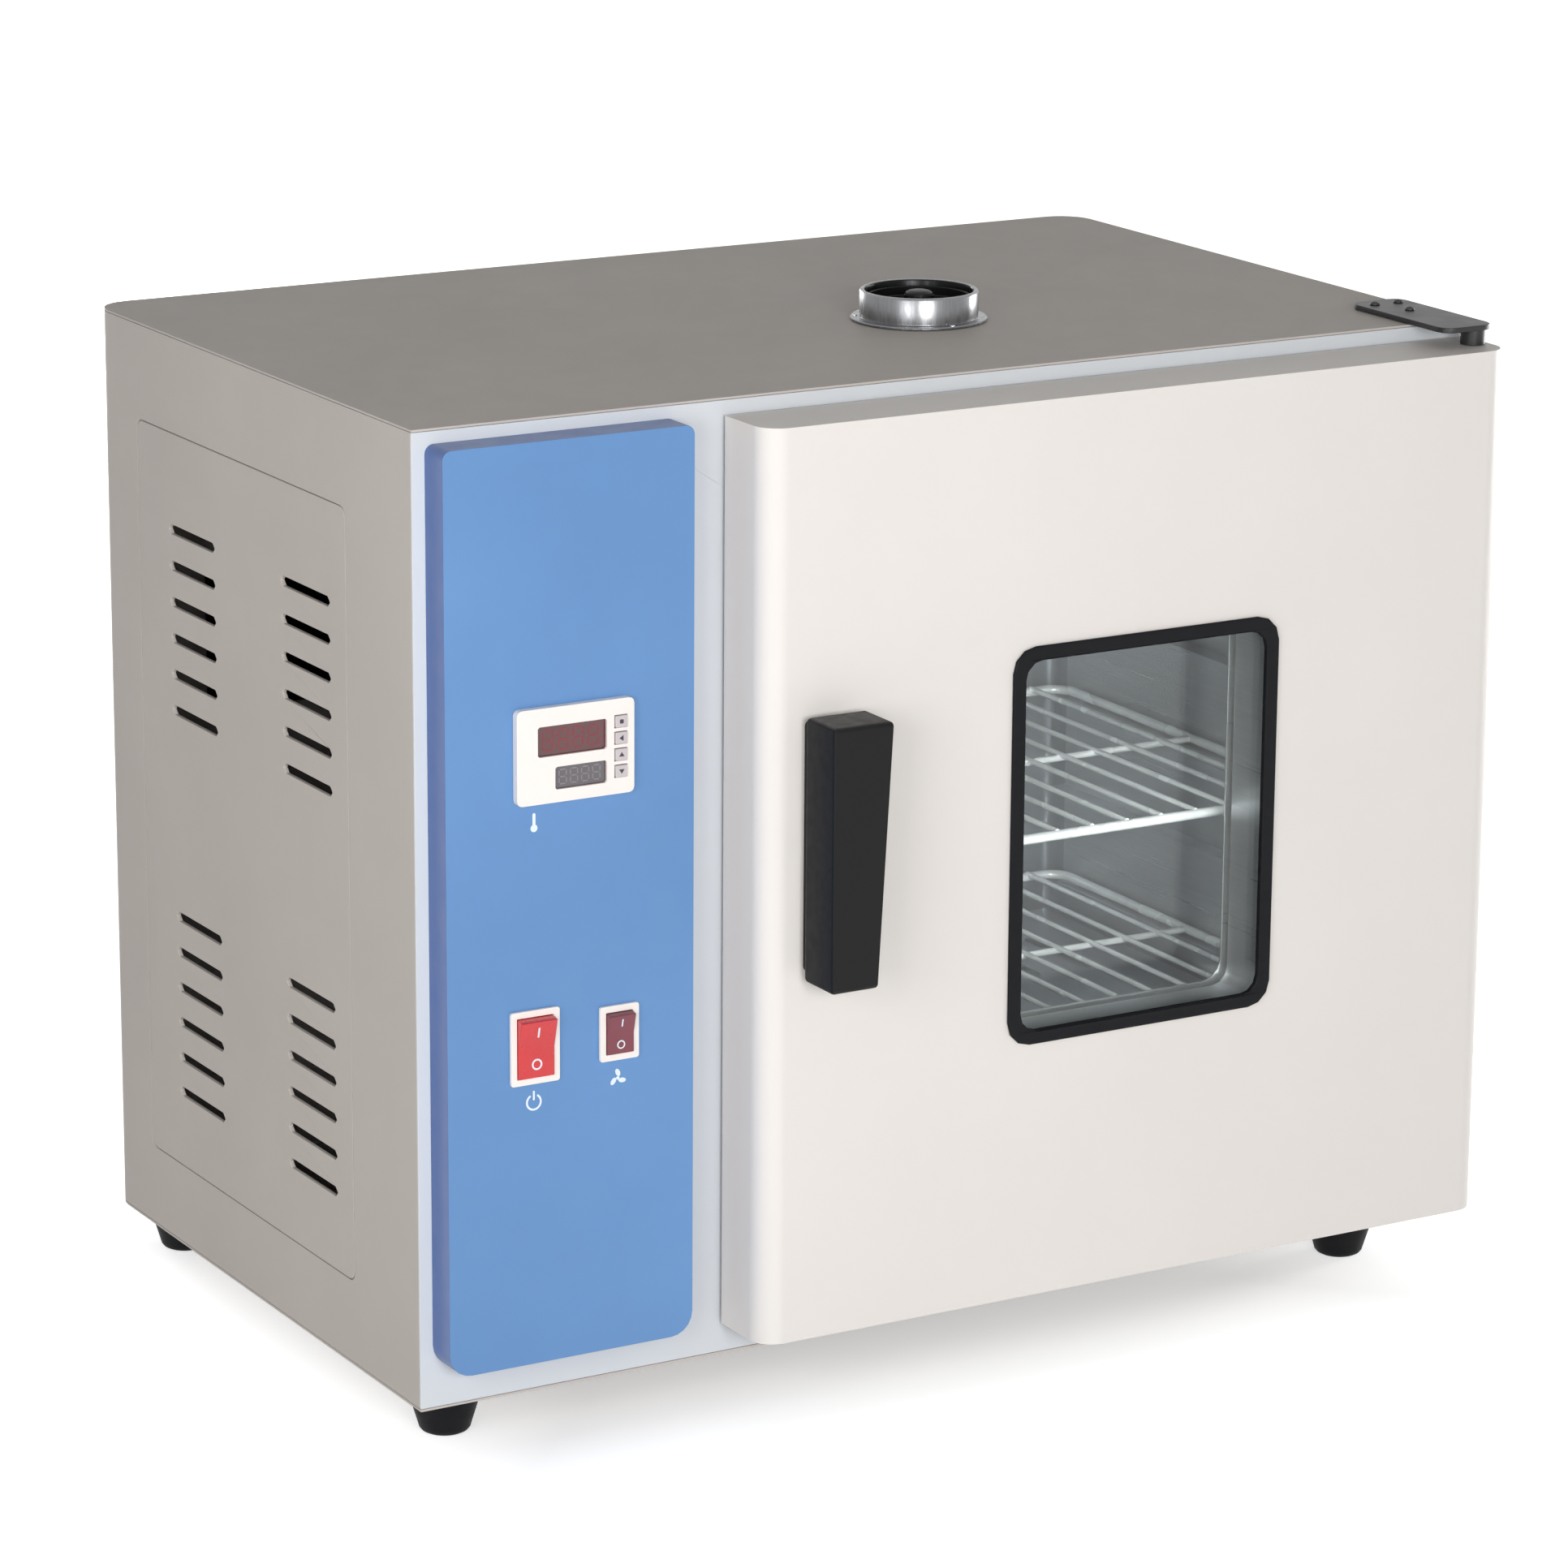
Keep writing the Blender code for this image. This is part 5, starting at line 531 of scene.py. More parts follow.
def smooth_node(name, width=0.0004, steps=2, angle=32.0):
    """Soften the sharp edges of a CAD node with modifiers, its own mesh as it is."""
    item = NODES[name]
    item.data.shade_smooth()
    if item.data.has_custom_normals:
        bpy.context.view_layer.objects.active = item
        bpy.ops.mesh.customdata_custom_splitnormals_clear()
    if item.data.attributes.get("sharp_edge"):
        item.data.attributes.remove(item.data.attributes["sharp_edge"])
    weld = item.modifiers.new("weld", "WELD")
    weld.merge_threshold = 0.000002
    if not width:
        split = item.modifiers.new("hard_edges", "EDGE_SPLIT")
        split.split_angle = math.radians(angle)
    else:
        bevel = item.modifiers.new("soft_edges", "BEVEL")
        bevel.width = width
        bevel.segments = steps
        bevel.limit_method = "ANGLE"
        bevel.angle_limit = math.radians(angle)
        bevel.use_clamp_overlap = True
        bevel.miter_outer = "MITER_ARC"
    normal = item.modifiers.new("face_normals", "WEIGHTED_NORMAL")
    normal.mode = "FACE_AREA"
    normal.weight = 80


# ---------------------------------------------------------------- carried-over CAD nodes

EDGE = 0.0002           # bevel of a node that has no row here; nought keeps its edges hard
EDGES = {
    "door_shell": 0.0008, "handle_grip": 0.0010, "handle_base": 0.0006, "controller_bezel": 0.0005,
    "power_rocker": 0.0005, "fan_rocker": 0.0004, "power_switch_frame": 0.0004,
    "fan_switch_frame": 0.0004, "window_gasket": 0.0009, "hinge_bracket_upper": 0.0005,
    "hinge_bracket_lower": 0.0005, "outer_wrap": 0.0003, "top_cover": 0.0003, "base_pan": 0.0003,
    "front_frame": 0.0003, "side_cover": 0.0004, "rear_cover": 0.0004, "chamber_insulation": 0.0,
    "door_insulation": 0.0, "window_glass_outer": 0.0, "window_glass_inner": 0.0,
    "key_1": 0.0003, "key_2": 0.0003, "key_3": 0.0003, "key_4": 0.0003, "control_panel": 0.0,
    "fan_impeller": 0.0, "heater_element": 0.0, "fan_motor": 0.0006,
}
SLOT_OF = {sub["node"]: sub["material_slot"] for sub in frame["record"]["subparts"]}
for node_name, item in NODES.items():
    item.data.materials.clear()
    item.data.materials.append(LOOKS[SLOT_OF[node_name]])
    smooth_node(node_name, EDGES.get(node_name, EDGE))
for node_name in ("window_glass_outer", "window_glass_inner"):
    NODES[node_name].visible_shadow = False     # the lamps shine straight through a clear pane
NODES["front_frame"].data.materials[0] = FASCIA
NODES["fan_rocker"].data.materials[0] = MAROON
for node_name in ("inner_chamber", "duct_panel", "chamber_floor"):
    NODES[node_name].data.materials[0] = CHAMBER_STEEL


# ---------------------------------------------------------------- screws

def screw_mesh(radius):
    """Pan head with a cross recess, its underside at z = 0."""
    height = radius * 0.62
    profile = [(0, 0), (radius * 0.96, 0), (radius, height * 0.12), (radius, height * 0.34),
               (radius * 0.93, height * 0.62), (radius * 0.74, height * 0.87),
               (radius * 0.4, height * 0.98), (0, height)]
    arm, half = radius * 0.55, radius * 0.13
    cross = [(arm, half), (half, half), (half, arm), (-half, arm), (-half, half), (-arm, half),
             (-arm, -half), (-half, -half), (-half, -arm), (half, -arm), (half, -half),
             (arm, -half)]
    recess = plate([cross], height)
    recess.transform(Matrix.Translation((0, 0, height * 0.35)))
    return cut(lathe(profile, 24), recess)


def screws(name, places, facing, body, radius, slot="bright_steel"):
    """Screw heads in one object, each turned a little differently."""
    head = screw_mesh(radius)
    parts = []
    for index, place in enumerate(places):
        spin = Matrix.Rotation(math.radians(37 * index + 11), 4, "Z")
        parts.append((head, Matrix.Translation(place) @ turn_to(facing) @ spin))
    return piece(name, merged(parts), slot, body)


BIG_SCREW, SCREW, DUCT_SCREW, HINGE_SCREW, TINY_SCREW = 0.0034, 0.0032, 0.0030, 0.0028, 0.0013
COVER_INSET, WRAP_INSET = 0.0062, 0.0065        # from the edge of the sheet to the screw
DUCT_INSET_Y, DUCT_INSET_Z = 0.010, 0.009
BACK_SCREWS_X = (-0.27, -0.09, 0.09, 0.27)
BASE_SCREWS_X, BASE_SCREWS_Y = (-0.30, 0.0, 0.30), (-0.09, 0.16)
HINGE_SCREWS = ((-0.008, 0.012), (0.008, 0.012), (0.0, 0.034))     # sideways, from the rear edge

low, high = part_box("rear_cover")
screws("rear_cover_screws",
       [(x, high.y, z) for x in (low.x + COVER_INSET, high.x - COVER_INSET)
        for z in (low.z + COVER_INSET, (low.z + high.z) / 2, high.z - COVER_INSET)],
       BACKWARD, "cabinet", BIG_SCREW)
low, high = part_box("outer_wrap")
screws("cabinet_back_screws",
       [(x, high.y, z) for x in BACK_SCREWS_X
        for z in (low.z + WRAP_INSET, high.z - WRAP_INSET)], BACKWARD, "cabinet", SCREW)
low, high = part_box("base_pan")
screws("base_screws", [(x, y, low.z) for x in BASE_SCREWS_X for y in BASE_SCREWS_Y], DOWN,
       "cabinet", BIG_SCREW)
low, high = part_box("duct_panel")
screws("duct_panel_screws",
       [(high.x, y, z) for y in (low.y + DUCT_INSET_Y, high.y - DUCT_INSET_Y)
        for z in (low.z + DUCT_INSET_Z, high.z - DUCT_INSET_Z)], RIGHTWARD, "cabinet", DUCT_SCREW)
low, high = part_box("hinge_bracket_upper")
screws("upper_hinge_screws",
       [((low.x + high.x) / 2 + shift, high.y - back, high.z) for shift, back in HINGE_SCREWS],
       UP, "cabinet", HINGE_SCREW, "black_metal")


# ---------------------------------------------------------------- vent

def make_vent():
    """Finer collar and damper than the CAD ones, with the same sizes."""
    low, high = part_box("vent_collar")
    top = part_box("vent_damper")[1].z
    centre = Vector(((low.x + high.x) / 2, (low.y + high.y) / 2, 0))
    base, outer, inside, bore = (high.x - low.x) / 2, 0.033, 0.030, 0.0228
    axle, window_inner, window_outer = 0.0034, 0.0085, 0.0190
    floor = low.z + 0.0042
    profile = [(outer, low.z + 0.0018), (outer, high.z - 0.0012),
               (outer - 0.0004, high.z - 0.0004), (outer - 0.0012, high.z),
               (inside + 0.0010, high.z), (inside + 0.0003, high.z - 0.0004),
               (inside, high.z - 0.0012), (inside, floor + 0.0018),
               (inside - 0.0003, floor + 0.0015), (axle, floor + 0.0015), (axle, floor),
               (bore, floor), (bore, low.z),
               (base - 0.0004, low.z), (base, low.z + 0.0004), (base, low.z + 0.0011),
               (base - 0.0004, low.z + 0.0015), (outer + 0.0012, low.z + 0.0015),
               (outer + 0.0003, low.z + 0.0016)]
    sectors = []
    for turn in (0, 180):
        outline = (arc((0, 0), window_outer, turn - 40, turn + 40, 14)
                   + arc((0, 0), window_inner, turn + 40, turn - 40, 8))
        tool = plate([outline], 0.020)
        tool.transform(Matrix.Translation((0, 0, low.z - 0.004)))
        sectors.append(tool)
    shift = Matrix.Translation(centre)
    collar = cut(lathe(profile, 96, closed=True), *[tool.copy() for tool in sectors])
    # the steel's grey is kept dark so that the white surroundings mirror in it as mid grey: a
    # painted darker reflection
    steel = brushed_look("vent_steel_with_painted_shade", srgb(132, 133, 135), 0.28, (900.0, 900.0, 90.0), 0.000006)
    # painted shade: the inside of the collar, within this radius, is coloured near-black for the
    # shade in the vent's mouth
    steel.bore(centre, inside + 0.0004, srgb(34, 34, 35))
    item = piece("vent_collar_fine", collar, steel.material, "cabinet", shift)
    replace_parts(item, "vent_collar")

    knob = 0.0078
    disc_base = floor + 0.0015 + 0.0008
    ridge = disc_base + 0.0015
    skirt, wall_top = inside - 0.0008, high.z - 0.0035
    profile = [(0, floor), (0.003, floor), (0.003, disc_base), (skirt, disc_base),
               (skirt, wall_top - 0.0004), (skirt - 0.0004, wall_top),
               (skirt - 0.0010, wall_top), (skirt - 0.0014, wall_top - 0.0004),
               (skirt - 0.0014, ridge + 0.0006), (skirt - 0.0020, ridge), (knob + 0.0006, ridge),
               (knob, ridge + 0.0006), (knob, top - 0.0024), (knob - 0.0005, top - 0.0012),
               (knob - 0.0018, top - 0.0004), (knob - 0.0035, top), (0, top)]
    disc = cut(lathe(profile, 96), *sectors)
    item = piece("vent_damper_fine", disc, "black_plastic", "damper", shift)
    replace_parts(item, "vent_damper")
    grips = []
    for index in range(24):
        turn = Matrix.Rotation(math.tau * index / 24, 4, "Z")
        rib = plate([rounded(0.0009, 0.0012, 0.0003, 3)], top - 0.0026 - ridge - 0.0006)
        grips.append((rib, shift @ turn @ Matrix.Translation((knob - 0.0001, 0, ridge + 0.0006))))
    piece("vent_knob_ribs", merged(grips), "black_plastic", "damper")
    reach = 0.0355
    places = []
    for angle in (30, 150, 270):
        turn = math.radians(angle)
        places.append((centre.x + reach * math.cos(turn), centre.y + reach * math.sin(turn),
                       low.z + 0.0014))
    screws("vent_flange_screws", places, UP, "cabinet", TINY_SCREW)


make_vent()


# ---------------------------------------------------------------- feet

def make_feet():
    """Turned rubber feet with a groove and a bolt sunk in the underside."""
    for name in ("foot_front_left", "foot_front_right", "foot_rear_left", "foot_rear_right"):
        low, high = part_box(name)
        top, wide, narrow = high.z, (high.x - low.x) / 2, 0.0145
        profile = [(0, top), (0.013, top), (wide - 0.0035, top - 0.0014),
                   (wide - 0.0014, top - 0.0026), (wide - 0.0003, top - 0.0042),
                   (wide, top - 0.0058)]
        for part in (0.25, 0.5, 0.75):
            profile.append((wide + (narrow - wide) * part,
                            top - 0.0058 - (top - 0.0058 - 0.0045) * part))
        profile += [(narrow, 0.0045), (narrow - 0.0006, 0.0024), (narrow - 0.0018, 0.0009),
                    (narrow - 0.0035, 0.0), (0.0066, 0.0), (0.0062, 0.0004), (0.0062, 0.010),
                    (0, 0.010)]
        shift = Matrix.Translation(((low.x + high.x) / 2, (low.y + high.y) / 2, 0))
        item = piece(name + "_fine", lathe(profile, 64), "black_rubber", "cabinet",
                     shift)
        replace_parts(item, name)
        head = [(0, 0.0105), (0.0055, 0.0105), (0.0055, 0.0068), (0.0050, 0.0060), (0, 0.0058)]
        hex_recess = plate([circle(0.0024, 6)], 0.004)
        hex_recess.transform(Matrix.Translation((0, 0, 0.0045)))
        bolt = cut(lathe(head, 32), hex_recess)
        piece(name + "_bolt", bolt, "zinc_plate", "cabinet", shift)


make_feet()


# ---------------------------------------------------------------- shelves

SHELF_WIRES = 13


def make_shelves():
    """Wire shelves with round rods and wires."""
    for name in ("shelf_lower", "shelf_upper"):
        low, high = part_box(name)
        rod, wire, cross = 0.0028, 0.0016, 0.0020      # radii
        z = low.z + rod
        size = (high.x - low.x - 2 * rod, high.y - low.y - 2 * rod)
        middle = ((low.x + high.x) / 2, (low.y + high.y) / 2)
        loop = [(x, y, z) for x, y in rounded(*size, 0.014, 8, middle)]
        runs = [(loop, rod, True)]
        top = z + rod - wire / 2
        for index in range(SHELF_WIRES):
            x = low.x + rod + size[0] * (index + 1) / (SHELF_WIRES + 1)
            runs.append(([(x, low.y + rod, top), (x, high.y - rod, top)], wire, False))
        runs.append(([(low.x + rod, middle[1], z), (high.x - rod, middle[1], z)], cross, False))
        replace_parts(wires(name + "_wires", runs, WIRE_STEEL_PAINTED_HIGHLIGHT, "cabinet"), name)


make_shelves()


# ---------------------------------------------------------------- seal

def make_seal():
    """Ribbed silicone seal round the mouth of the chamber."""
    low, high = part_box("door_seal")
    width = 0.008
    depth = high.y - low.y
    size = (high.x - low.x - width, high.z - low.z - width)
    half = width / 2
    profile = [(-half, 0.0), (-half, depth * 0.35), (-half * 0.85, depth * 0.55),
               (-half * 0.5, depth * 0.62), (-half * 0.42, depth * 0.9), (-half * 0.2, depth),
               (half * 0.2, depth), (half * 0.42, depth * 0.9), (half * 0.5, depth * 0.62),
               (half * 0.85, depth * 0.55), (half, depth * 0.35), (half, 0.0)]
    matrix = (Matrix.Translation(((low.x + high.x) / 2, high.y, (low.z + high.z) / 2))
              @ turn_to(FRONTWARD))
    item = piece("door_seal_fine", ring(size, 0.015, profile), "silicone", "cabinet",
                 matrix, 50.0)
    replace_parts(item, "door_seal")


make_seal()


# ---------------------------------------------------------------- controls

def face_of(node):
    """Middle of a node's front face."""
    low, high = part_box(node)
    return Vector(((low.x + high.x) / 2, low.y, (low.z + high.z) / 2))


MARK_DROP = 0.0105      # from a control's foot to the middle of the mark below it


def make_marks():
    """Generic marks: on and off, power, fan, thermometer, and the arrows on the keys."""
    for node, body, size in (("power_rocker", "power_button", 1.0),
                             ("fan_rocker", "fan_button", 0.78)):
        low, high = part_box(node)
        x, reach = (low.x + high.x) / 2, (high.z - low.z) / 2
        middle = (low.z + high.z) / 2
        mark(node + "_on", [rounded(0.0010 * size, 0.0058 * size, 0.0003, 3)], node,
             (x, low.y, middle + reach * 0.55), BACKWARD, INK, body)
        mark(node + "_off", [circle(0.0030 * size, 32), circle(0.0021 * size, 32)], node,
             (x, low.y, middle - reach * 0.55), BACKWARD, INK, body)

    low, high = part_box("power_switch_frame")
    x, z = (low.x + high.x) / 2, low.z - MARK_DROP
    broken = arc((0, 0), 0.0046, 118, 422, 30) + arc((0, 0), 0.0035, 422, 118, 30)
    mark("power_mark", [broken, rounded(0.0011, 0.0052, 0.0004, 3, (0, 0.0036))],
         "control_panel", (x, low.y, z), BACKWARD, INK, "cabinet")
    low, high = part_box("fan_switch_frame")
    x, z = (low.x + high.x) / 2, low.z - MARK_DROP
    blades, petal = [circle(0.0010, 16)], 0.0030
    for turn in (90, 210, 330):
        cx, cy = petal * math.cos(math.radians(turn)), petal * math.sin(math.radians(turn))
        points = []
        for step in range(24):
            angle = math.radians(15 * step)
            long, short = 0.0022 * math.cos(angle), 0.0013 * math.sin(angle)
            tilt = math.radians(turn + 24)
            points.append((cx + long * math.cos(tilt) - short * math.sin(tilt),
                           cy + long * math.sin(tilt) + short * math.cos(tilt)))
        blades.append(points)
    mark("fan_mark", blades, "control_panel", (x, low.y, z), BACKWARD, INK, "cabinet")
    low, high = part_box("controller_bezel")
    x, z = low.x + 0.012, low.z - MARK_DROP
    bulb = arc((0, -0.0030), 0.0020, 115, 425, 24) + arc((0, 0.0042), 0.00085, 0, 180, 10)
    mark("thermometer_mark", [bulb], "control_panel", (x, low.y, z), BACKWARD, INK, "cabinet")

    arrows = {
        "key_1": [(-0.0016, 0.0010), (0.0016, 0.0010), (0.0, -0.0014)],
        "key_2": [(-0.0016, -0.0010), (0.0, 0.0014), (0.0016, -0.0010)],
        "key_3": [(0.0010, -0.0016), (0.0010, 0.0016), (-0.0014, 0.0)],
        "key_4": rounded(0.0022, 0.0022, 0.0004, 3),
    }
    bodies = {"key_1": "first_key", "key_2": "second_key", "key_3": "third_key",
              "key_4": "fourth_key"}
    for node, outline in arrows.items():
        mark(node + "_mark", [outline], node, face_of(node), BACKWARD, DARK_INK, bodies[node],
             thick=0.00008)


SEGMENTS = (((0, 1), True), ((0, -1), True), ((0, 0), True),
            ((-1, 0.5), False), ((1, 0.5), False), ((-1, -0.5), False), ((1, -0.5), False))


def digits(name, count, centre_x, centre_z, digit, look):
    """Unlit digits of seven segments on the lens."""
    outlines = []
    width, height = digit
    bar = width * 0.16
    for place in range(count):
        middle = (place - (count - 1) / 2) * width * 1.55
        for (side, level), flat in SEGMENTS:
            x, y = middle + side * width / 2, level * height / 2
            length = (width if flat else height / 2) - bar * 1.25
            half = bar / 2
            run = [(-length / 2, 0), (-length / 2 + half, half), (length / 2 - half, half),
                   (length / 2, 0), (length / 2 - half, -half), (-length / 2 + half, -half)]
            outlines.append([(x + a, y + b) if flat else (x + b, y + a) for a, b in run])
    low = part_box("display_lens")[0]
    mark(name, outlines, "display_lens", (centre_x, low.y, centre_z), BACKWARD, look, "cabinet",
         thick=0.00006)


def make_display():
    """Windows of the controller: dark red digits above, grey ones below."""
    low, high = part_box("controller_bezel")
    x, z = (low.x + high.x) / 2, (low.z + high.z) / 2
    shift, drop = 0.003, 0.0125         # the lower window's middle, from the bezel's
    dim_red = plastic("dim_red", srgb(128, 48, 52), 0.4, 0.000003, 900.0, 0.05)
    dim_grey = plastic("dim_grey", srgb(128, 122, 126), 0.4, 0.000003, 900.0, 0.05)
    mark("lower_window_backing", [rounded(0.0296, 0.0116, 0.0009, 3)], "display_lens",
         (x + shift, low.y, z - drop), BACKWARD, GREY_LENS, "cabinet",
         thick=0.00004)
    digits("upper_digits", 4, x - 0.002, z + 0.0075, (0.0056, 0.0105), dim_red)
    digits("lower_digits", 4, x + shift, z - drop, (0.0042, 0.0076), dim_grey)


make_marks()
make_display()


# ---------------------------------------------------------------- rear details

def make_fuse():
    """Fuse cap with a slot for a coin."""
    low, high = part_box("fuse_holder")
    centre = Vector(((low.x + high.x) / 2, 0, (low.z + high.z) / 2))
    wide = (high.x - low.x) / 2
    face, back = high.y, low.y
    profile = [(0, face), (wide - 0.0018, face), (wide - 0.0005, face - 0.0004),
               (wide, face - 0.0010), (wide, face - 0.0021), (0.0060, face - 0.0022),
               (0.0060, back + 0.0006), (0.0054, back), (0, back)]
    coin = plate([rounded(0.0016, 0.0092, 0.0003, 3)], 0.004)
    coin.transform(Matrix.Translation((0, 0, face - 0.0013)))
    mesh = cut(lathe(profile, 48), coin)
    stand = Matrix(((1, 0, 0, 0), (0, 0, 1, 0), (0, -1, 0, 0), (0, 0, 0, 1)))
    item = piece("fuse_holder_fine", mesh, "black_plastic", "cabinet",
                 Matrix.Translation(centre) @ stand)
    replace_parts(item, "fuse_holder")


make_fuse()


def make_filter():
    """Black foam pad behind the slots of the rear cover."""
    low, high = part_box("rear_cover")
    x, z = (low.x + high.x) / 2, low.z + (high.z - low.z) * 0.667
    mesh = plate([rounded(0.096, 0.092, 0.004, 4)], 0.004, 0.0006)
    matrix = Matrix.Translation((x, low.y - 0.009, z)) @ turn_to(BACKWARD)
    piece("rear_filter", mesh, "black_rubber", "cabinet", matrix)


make_filter()


# ---------------------------------------------------------------- stage, lamps, camera

def make_floor():
    """Pale floor that reads as white, keeps the shadow and is clear from below; its glow dims
    under and near the oven's outline, a painted shadow.
    """
    wide, deep = cad_box[1][0], cad_box[1][1]
    solid = bmesh.new()
    solid.faces.new([solid.verts.new((x * FLOOR_REACH, y * FLOOR_REACH, 0.0))
                     for x, y in ((-1, -1), (1, -1), (1, 1), (-1, 1))])
    mesh = bpy.data.meshes.new("floor")
    solid.to_mesh(mesh)
    solid.free()
    floor = bpy.data.objects.new("floor", mesh)
    bpy.context.scene.collection.objects.link(floor)
    look = bpy.data.materials.new("floor")
    look.use_nodes = True
    tree = look.node_tree
    tree.nodes.clear()
    out = tree.nodes.new("ShaderNodeOutputMaterial")
    matt = tree.nodes.new("ShaderNodeBsdfDiffuse")
    matt.inputs["Color"].default_value = (0.80, 0.80, 0.80, 1)
    glow = tree.nodes.new("ShaderNodeEmission")
    glow.inputs["Color"].default_value = (1, 1, 1, 1)
    rays = tree.nodes.new("ShaderNodeLightPath")
    first = tree.nodes.new("ShaderNodeMath")
    first.operation = "MAXIMUM"
    second = tree.nodes.new("ShaderNodeMath")
    second.operation = "MAXIMUM"
    scale = tree.nodes.new("ShaderNodeMath")
    scale.operation = "MULTIPLY"
    coords = tree.nodes.new("ShaderNodeTexCoord")
    axes = tree.nodes.new("ShaderNodeSeparateXYZ")
    tree.links.new(coords.outputs["Object"], axes.inputs[0])
    reach = tree.nodes.new("ShaderNodeMath")
    reach.operation = "MAXIMUM"
    for index, (axis, half) in enumerate((("X", wide), ("Y", deep))):
        size = tree.nodes.new("ShaderNodeMath")
        size.operation = "ABSOLUTE"
        past = tree.nodes.new("ShaderNodeMath")
        past.operation = "SUBTRACT"
        past.inputs[1].default_value = half
        tree.links.new(axes.outputs[axis], size.inputs[0])
        tree.links.new(size.outputs[0], past.inputs[0])
        tree.links.new(past.outputs[0], reach.inputs[index])
    # painted shadow: the glow is lowest under the oven's outline and rises to full a little past
    # it
    level = tree.nodes.new("ShaderNodeMapRange")
    level.interpolation_type = "SMOOTHSTEP"
    for key, value in (("From Min", PAINTED_SHADOW_START), ("From Max", PAINTED_SHADOW_END),
                       ("To Min", FLOOR_GLOW_IN_PAINTED_SHADOW), ("To Max", FLOOR_FAR)):
        level.inputs[key].default_value = value
    tree.links.new(reach.outputs[0], level.inputs["Value"])
    tree.links.new(level.outputs["Result"], scale.inputs[1])
    both = tree.nodes.new("ShaderNodeAddShader")
    tree.links.new(rays.outputs["Is Camera Ray"], first.inputs[0])
    tree.links.new(rays.outputs["Is Glossy Ray"], first.inputs[1])
    tree.links.new(first.outputs[0], second.inputs[0])
    tree.links.new(rays.outputs["Is Transmission Ray"], second.inputs[1])
    tree.links.new(second.outputs[0], scale.inputs[0])
    tree.links.new(scale.outputs[0], glow.inputs["Strength"])
    tree.links.new(matt.outputs[0], both.inputs[0])
    tree.links.new(glow.outputs[0], both.inputs[1])
    side = tree.nodes.new("ShaderNodeNewGeometry")
    clear = tree.nodes.new("ShaderNodeBsdfTransparent")
    choose = tree.nodes.new("ShaderNodeMixShader")
    tree.links.new(side.outputs["Backfacing"], choose.inputs["Fac"])
    tree.links.new(both.outputs[0], choose.inputs[1])
    tree.links.new(clear.outputs[0], choose.inputs[2])
    tree.links.new(choose.outputs[0], out.inputs["Surface"])
    mesh.materials.append(look)


def make_world():
    """Soft even surroundings, white where the camera, gloss or glass sees them."""
    world = bpy.data.worlds.new("studio")
    bpy.context.scene.world = world
    world.use_nodes = True
    tree = world.node_tree
    tree.nodes.clear()
    out = tree.nodes.new("ShaderNodeOutputWorld")
    soft = tree.nodes.new("ShaderNodeBackground")
    soft.inputs["Color"].default_value = (1, 1, 1, 1)
    coords = tree.nodes.new("ShaderNodeTexCoord")
    axes = tree.nodes.new("ShaderNodeSeparateXYZ")
    level = tree.nodes.new("ShaderNodeMapRange")
    for key, value in (("From Min", 0.0), ("From Max", 1.0), ("To Min", WORLD_LOW),
                       ("To Max", WORLD_HIGH)):
        level.inputs[key].default_value = value
    tree.links.new(coords.outputs["Generated"], axes.inputs[0])
    tree.links.new(axes.outputs["Z"], level.inputs["Value"])
    tree.links.new(level.outputs["Result"], soft.inputs["Strength"])
    white = tree.nodes.new("ShaderNodeBackground")
    white.inputs["Color"].default_value = (1, 1, 1, 1)
    white.inputs["Strength"].default_value = 1.0
    rays = tree.nodes.new("ShaderNodeLightPath")
    first = tree.nodes.new("ShaderNodeMath")
    first.operation = "MAXIMUM"
    second = tree.nodes.new("ShaderNodeMath")
    second.operation = "MAXIMUM"
    choose = tree.nodes.new("ShaderNodeMixShader")
    tree.links.new(rays.outputs["Is Camera Ray"], first.inputs[0])
    tree.links.new(rays.outputs["Is Glossy Ray"], first.inputs[1])
    tree.links.new(first.outputs[0], second.inputs[0])
    tree.links.new(rays.outputs["Is Transmission Ray"], second.inputs[1])
    tree.links.new(second.outputs[0], choose.inputs["Fac"])
    tree.links.new(soft.outputs[0], choose.inputs[1])
    tree.links.new(white.outputs[0], choose.inputs[2])
    tree.links.new(choose.outputs[0], out.inputs["Surface"])


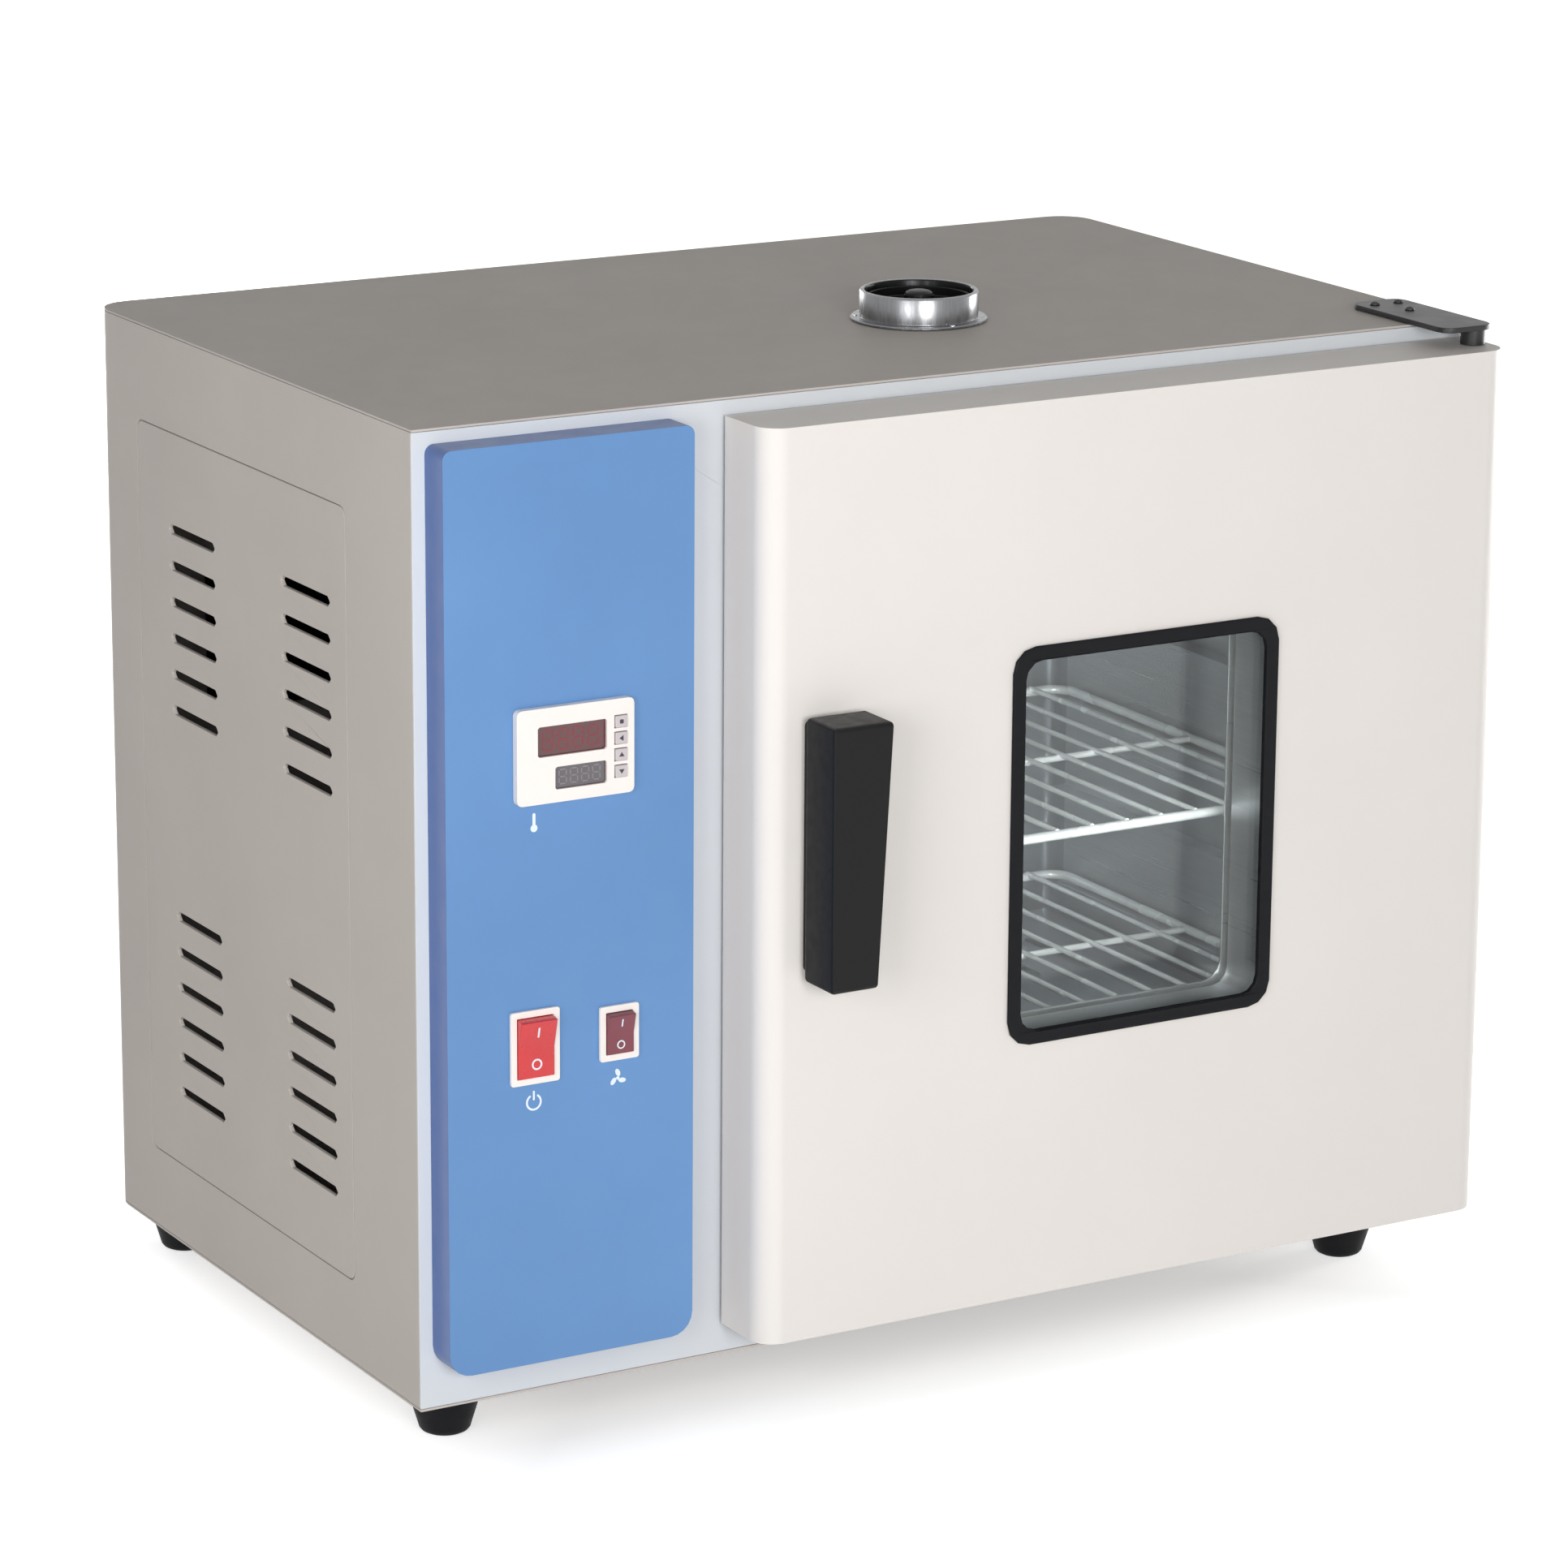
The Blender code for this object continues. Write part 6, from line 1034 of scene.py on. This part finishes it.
def softbox(name, place, aim, size, power):
    """Rectangular lamp that looks at a point."""
    light = bpy.data.lights.new(name, "AREA")
    light.shape = "RECTANGLE"
    light.size, light.size_y = size
    light.energy = power
    item = bpy.data.objects.new(name, light)
    item.visible_camera = False
    bpy.context.scene.collection.objects.link(item)
    away = Vector(place) - Vector(aim)
    item.matrix_world = Matrix.Translation(place) @ turn_to(away)


def make_camera():
    """Camera at the place that the photograph's perspective gives."""
    yaw, pitch, roll = math.radians(30.12), math.radians(15.054), math.radians(0.40)
    forward = Vector((math.sin(yaw) * math.cos(pitch), math.cos(yaw) * math.cos(pitch),
                      -math.sin(pitch)))
    right = Vector((math.cos(yaw), -math.sin(yaw), 0))
    up = right.cross(forward)
    side = right * math.cos(roll) + up * math.sin(roll)
    top = up * math.cos(roll) - right * math.sin(roll)
    camera = bpy.data.cameras.new("camera")
    camera.lens = 134.1
    camera.sensor_width = 36.0
    camera.clip_start = 0.05
    camera.clip_end = 200.0
    item = bpy.data.objects.new("camera", camera)
    bpy.context.scene.collection.objects.link(item)
    item.matrix_world = (Matrix.Translation((-1.60399, -2.73944, 1.14452))
                         @ Matrix((side, top, -forward)).transposed().to_4x4())
    bpy.context.scene.camera = item


FLOOR_REACH = 30.0                      # metres
FLOOR_GLOW_IN_PAINTED_SHADOW, FLOOR_FAR = 0.34, 0.95      # the floor's own glow under the oven, dimmed there as a painted shadow, and away from it
PAINTED_SHADOW_START, PAINTED_SHADOW_END = -0.14, 0.10  # where the painted shadow fades out, in metres past the oven's outline
WORLD_LOW, WORLD_HIGH = 0.42, 0.17      # the surroundings' light, level and from above
make_floor()
make_world()
softbox("key_light", (-1.0, -3.55, 1.1), (0.0, 0.0, 0.3), (1.4, 1.0), 66)
softbox("left_light", (-1.5, -1.2, 0.7), (-0.3, 0.0, 0.3), (0.8, 0.8), 10)
softbox("right_light", (3.1, 0.25, 0.42), (0.3, 0.0, 0.42), (1.0, 0.7), 50)
softbox("back_light", (0.1, 3.3, 0.42), (0.1, 0.2, 0.42), (1.2, 0.7), 55)
make_camera()
bpy.context.scene.view_settings.view_transform = "Standard"
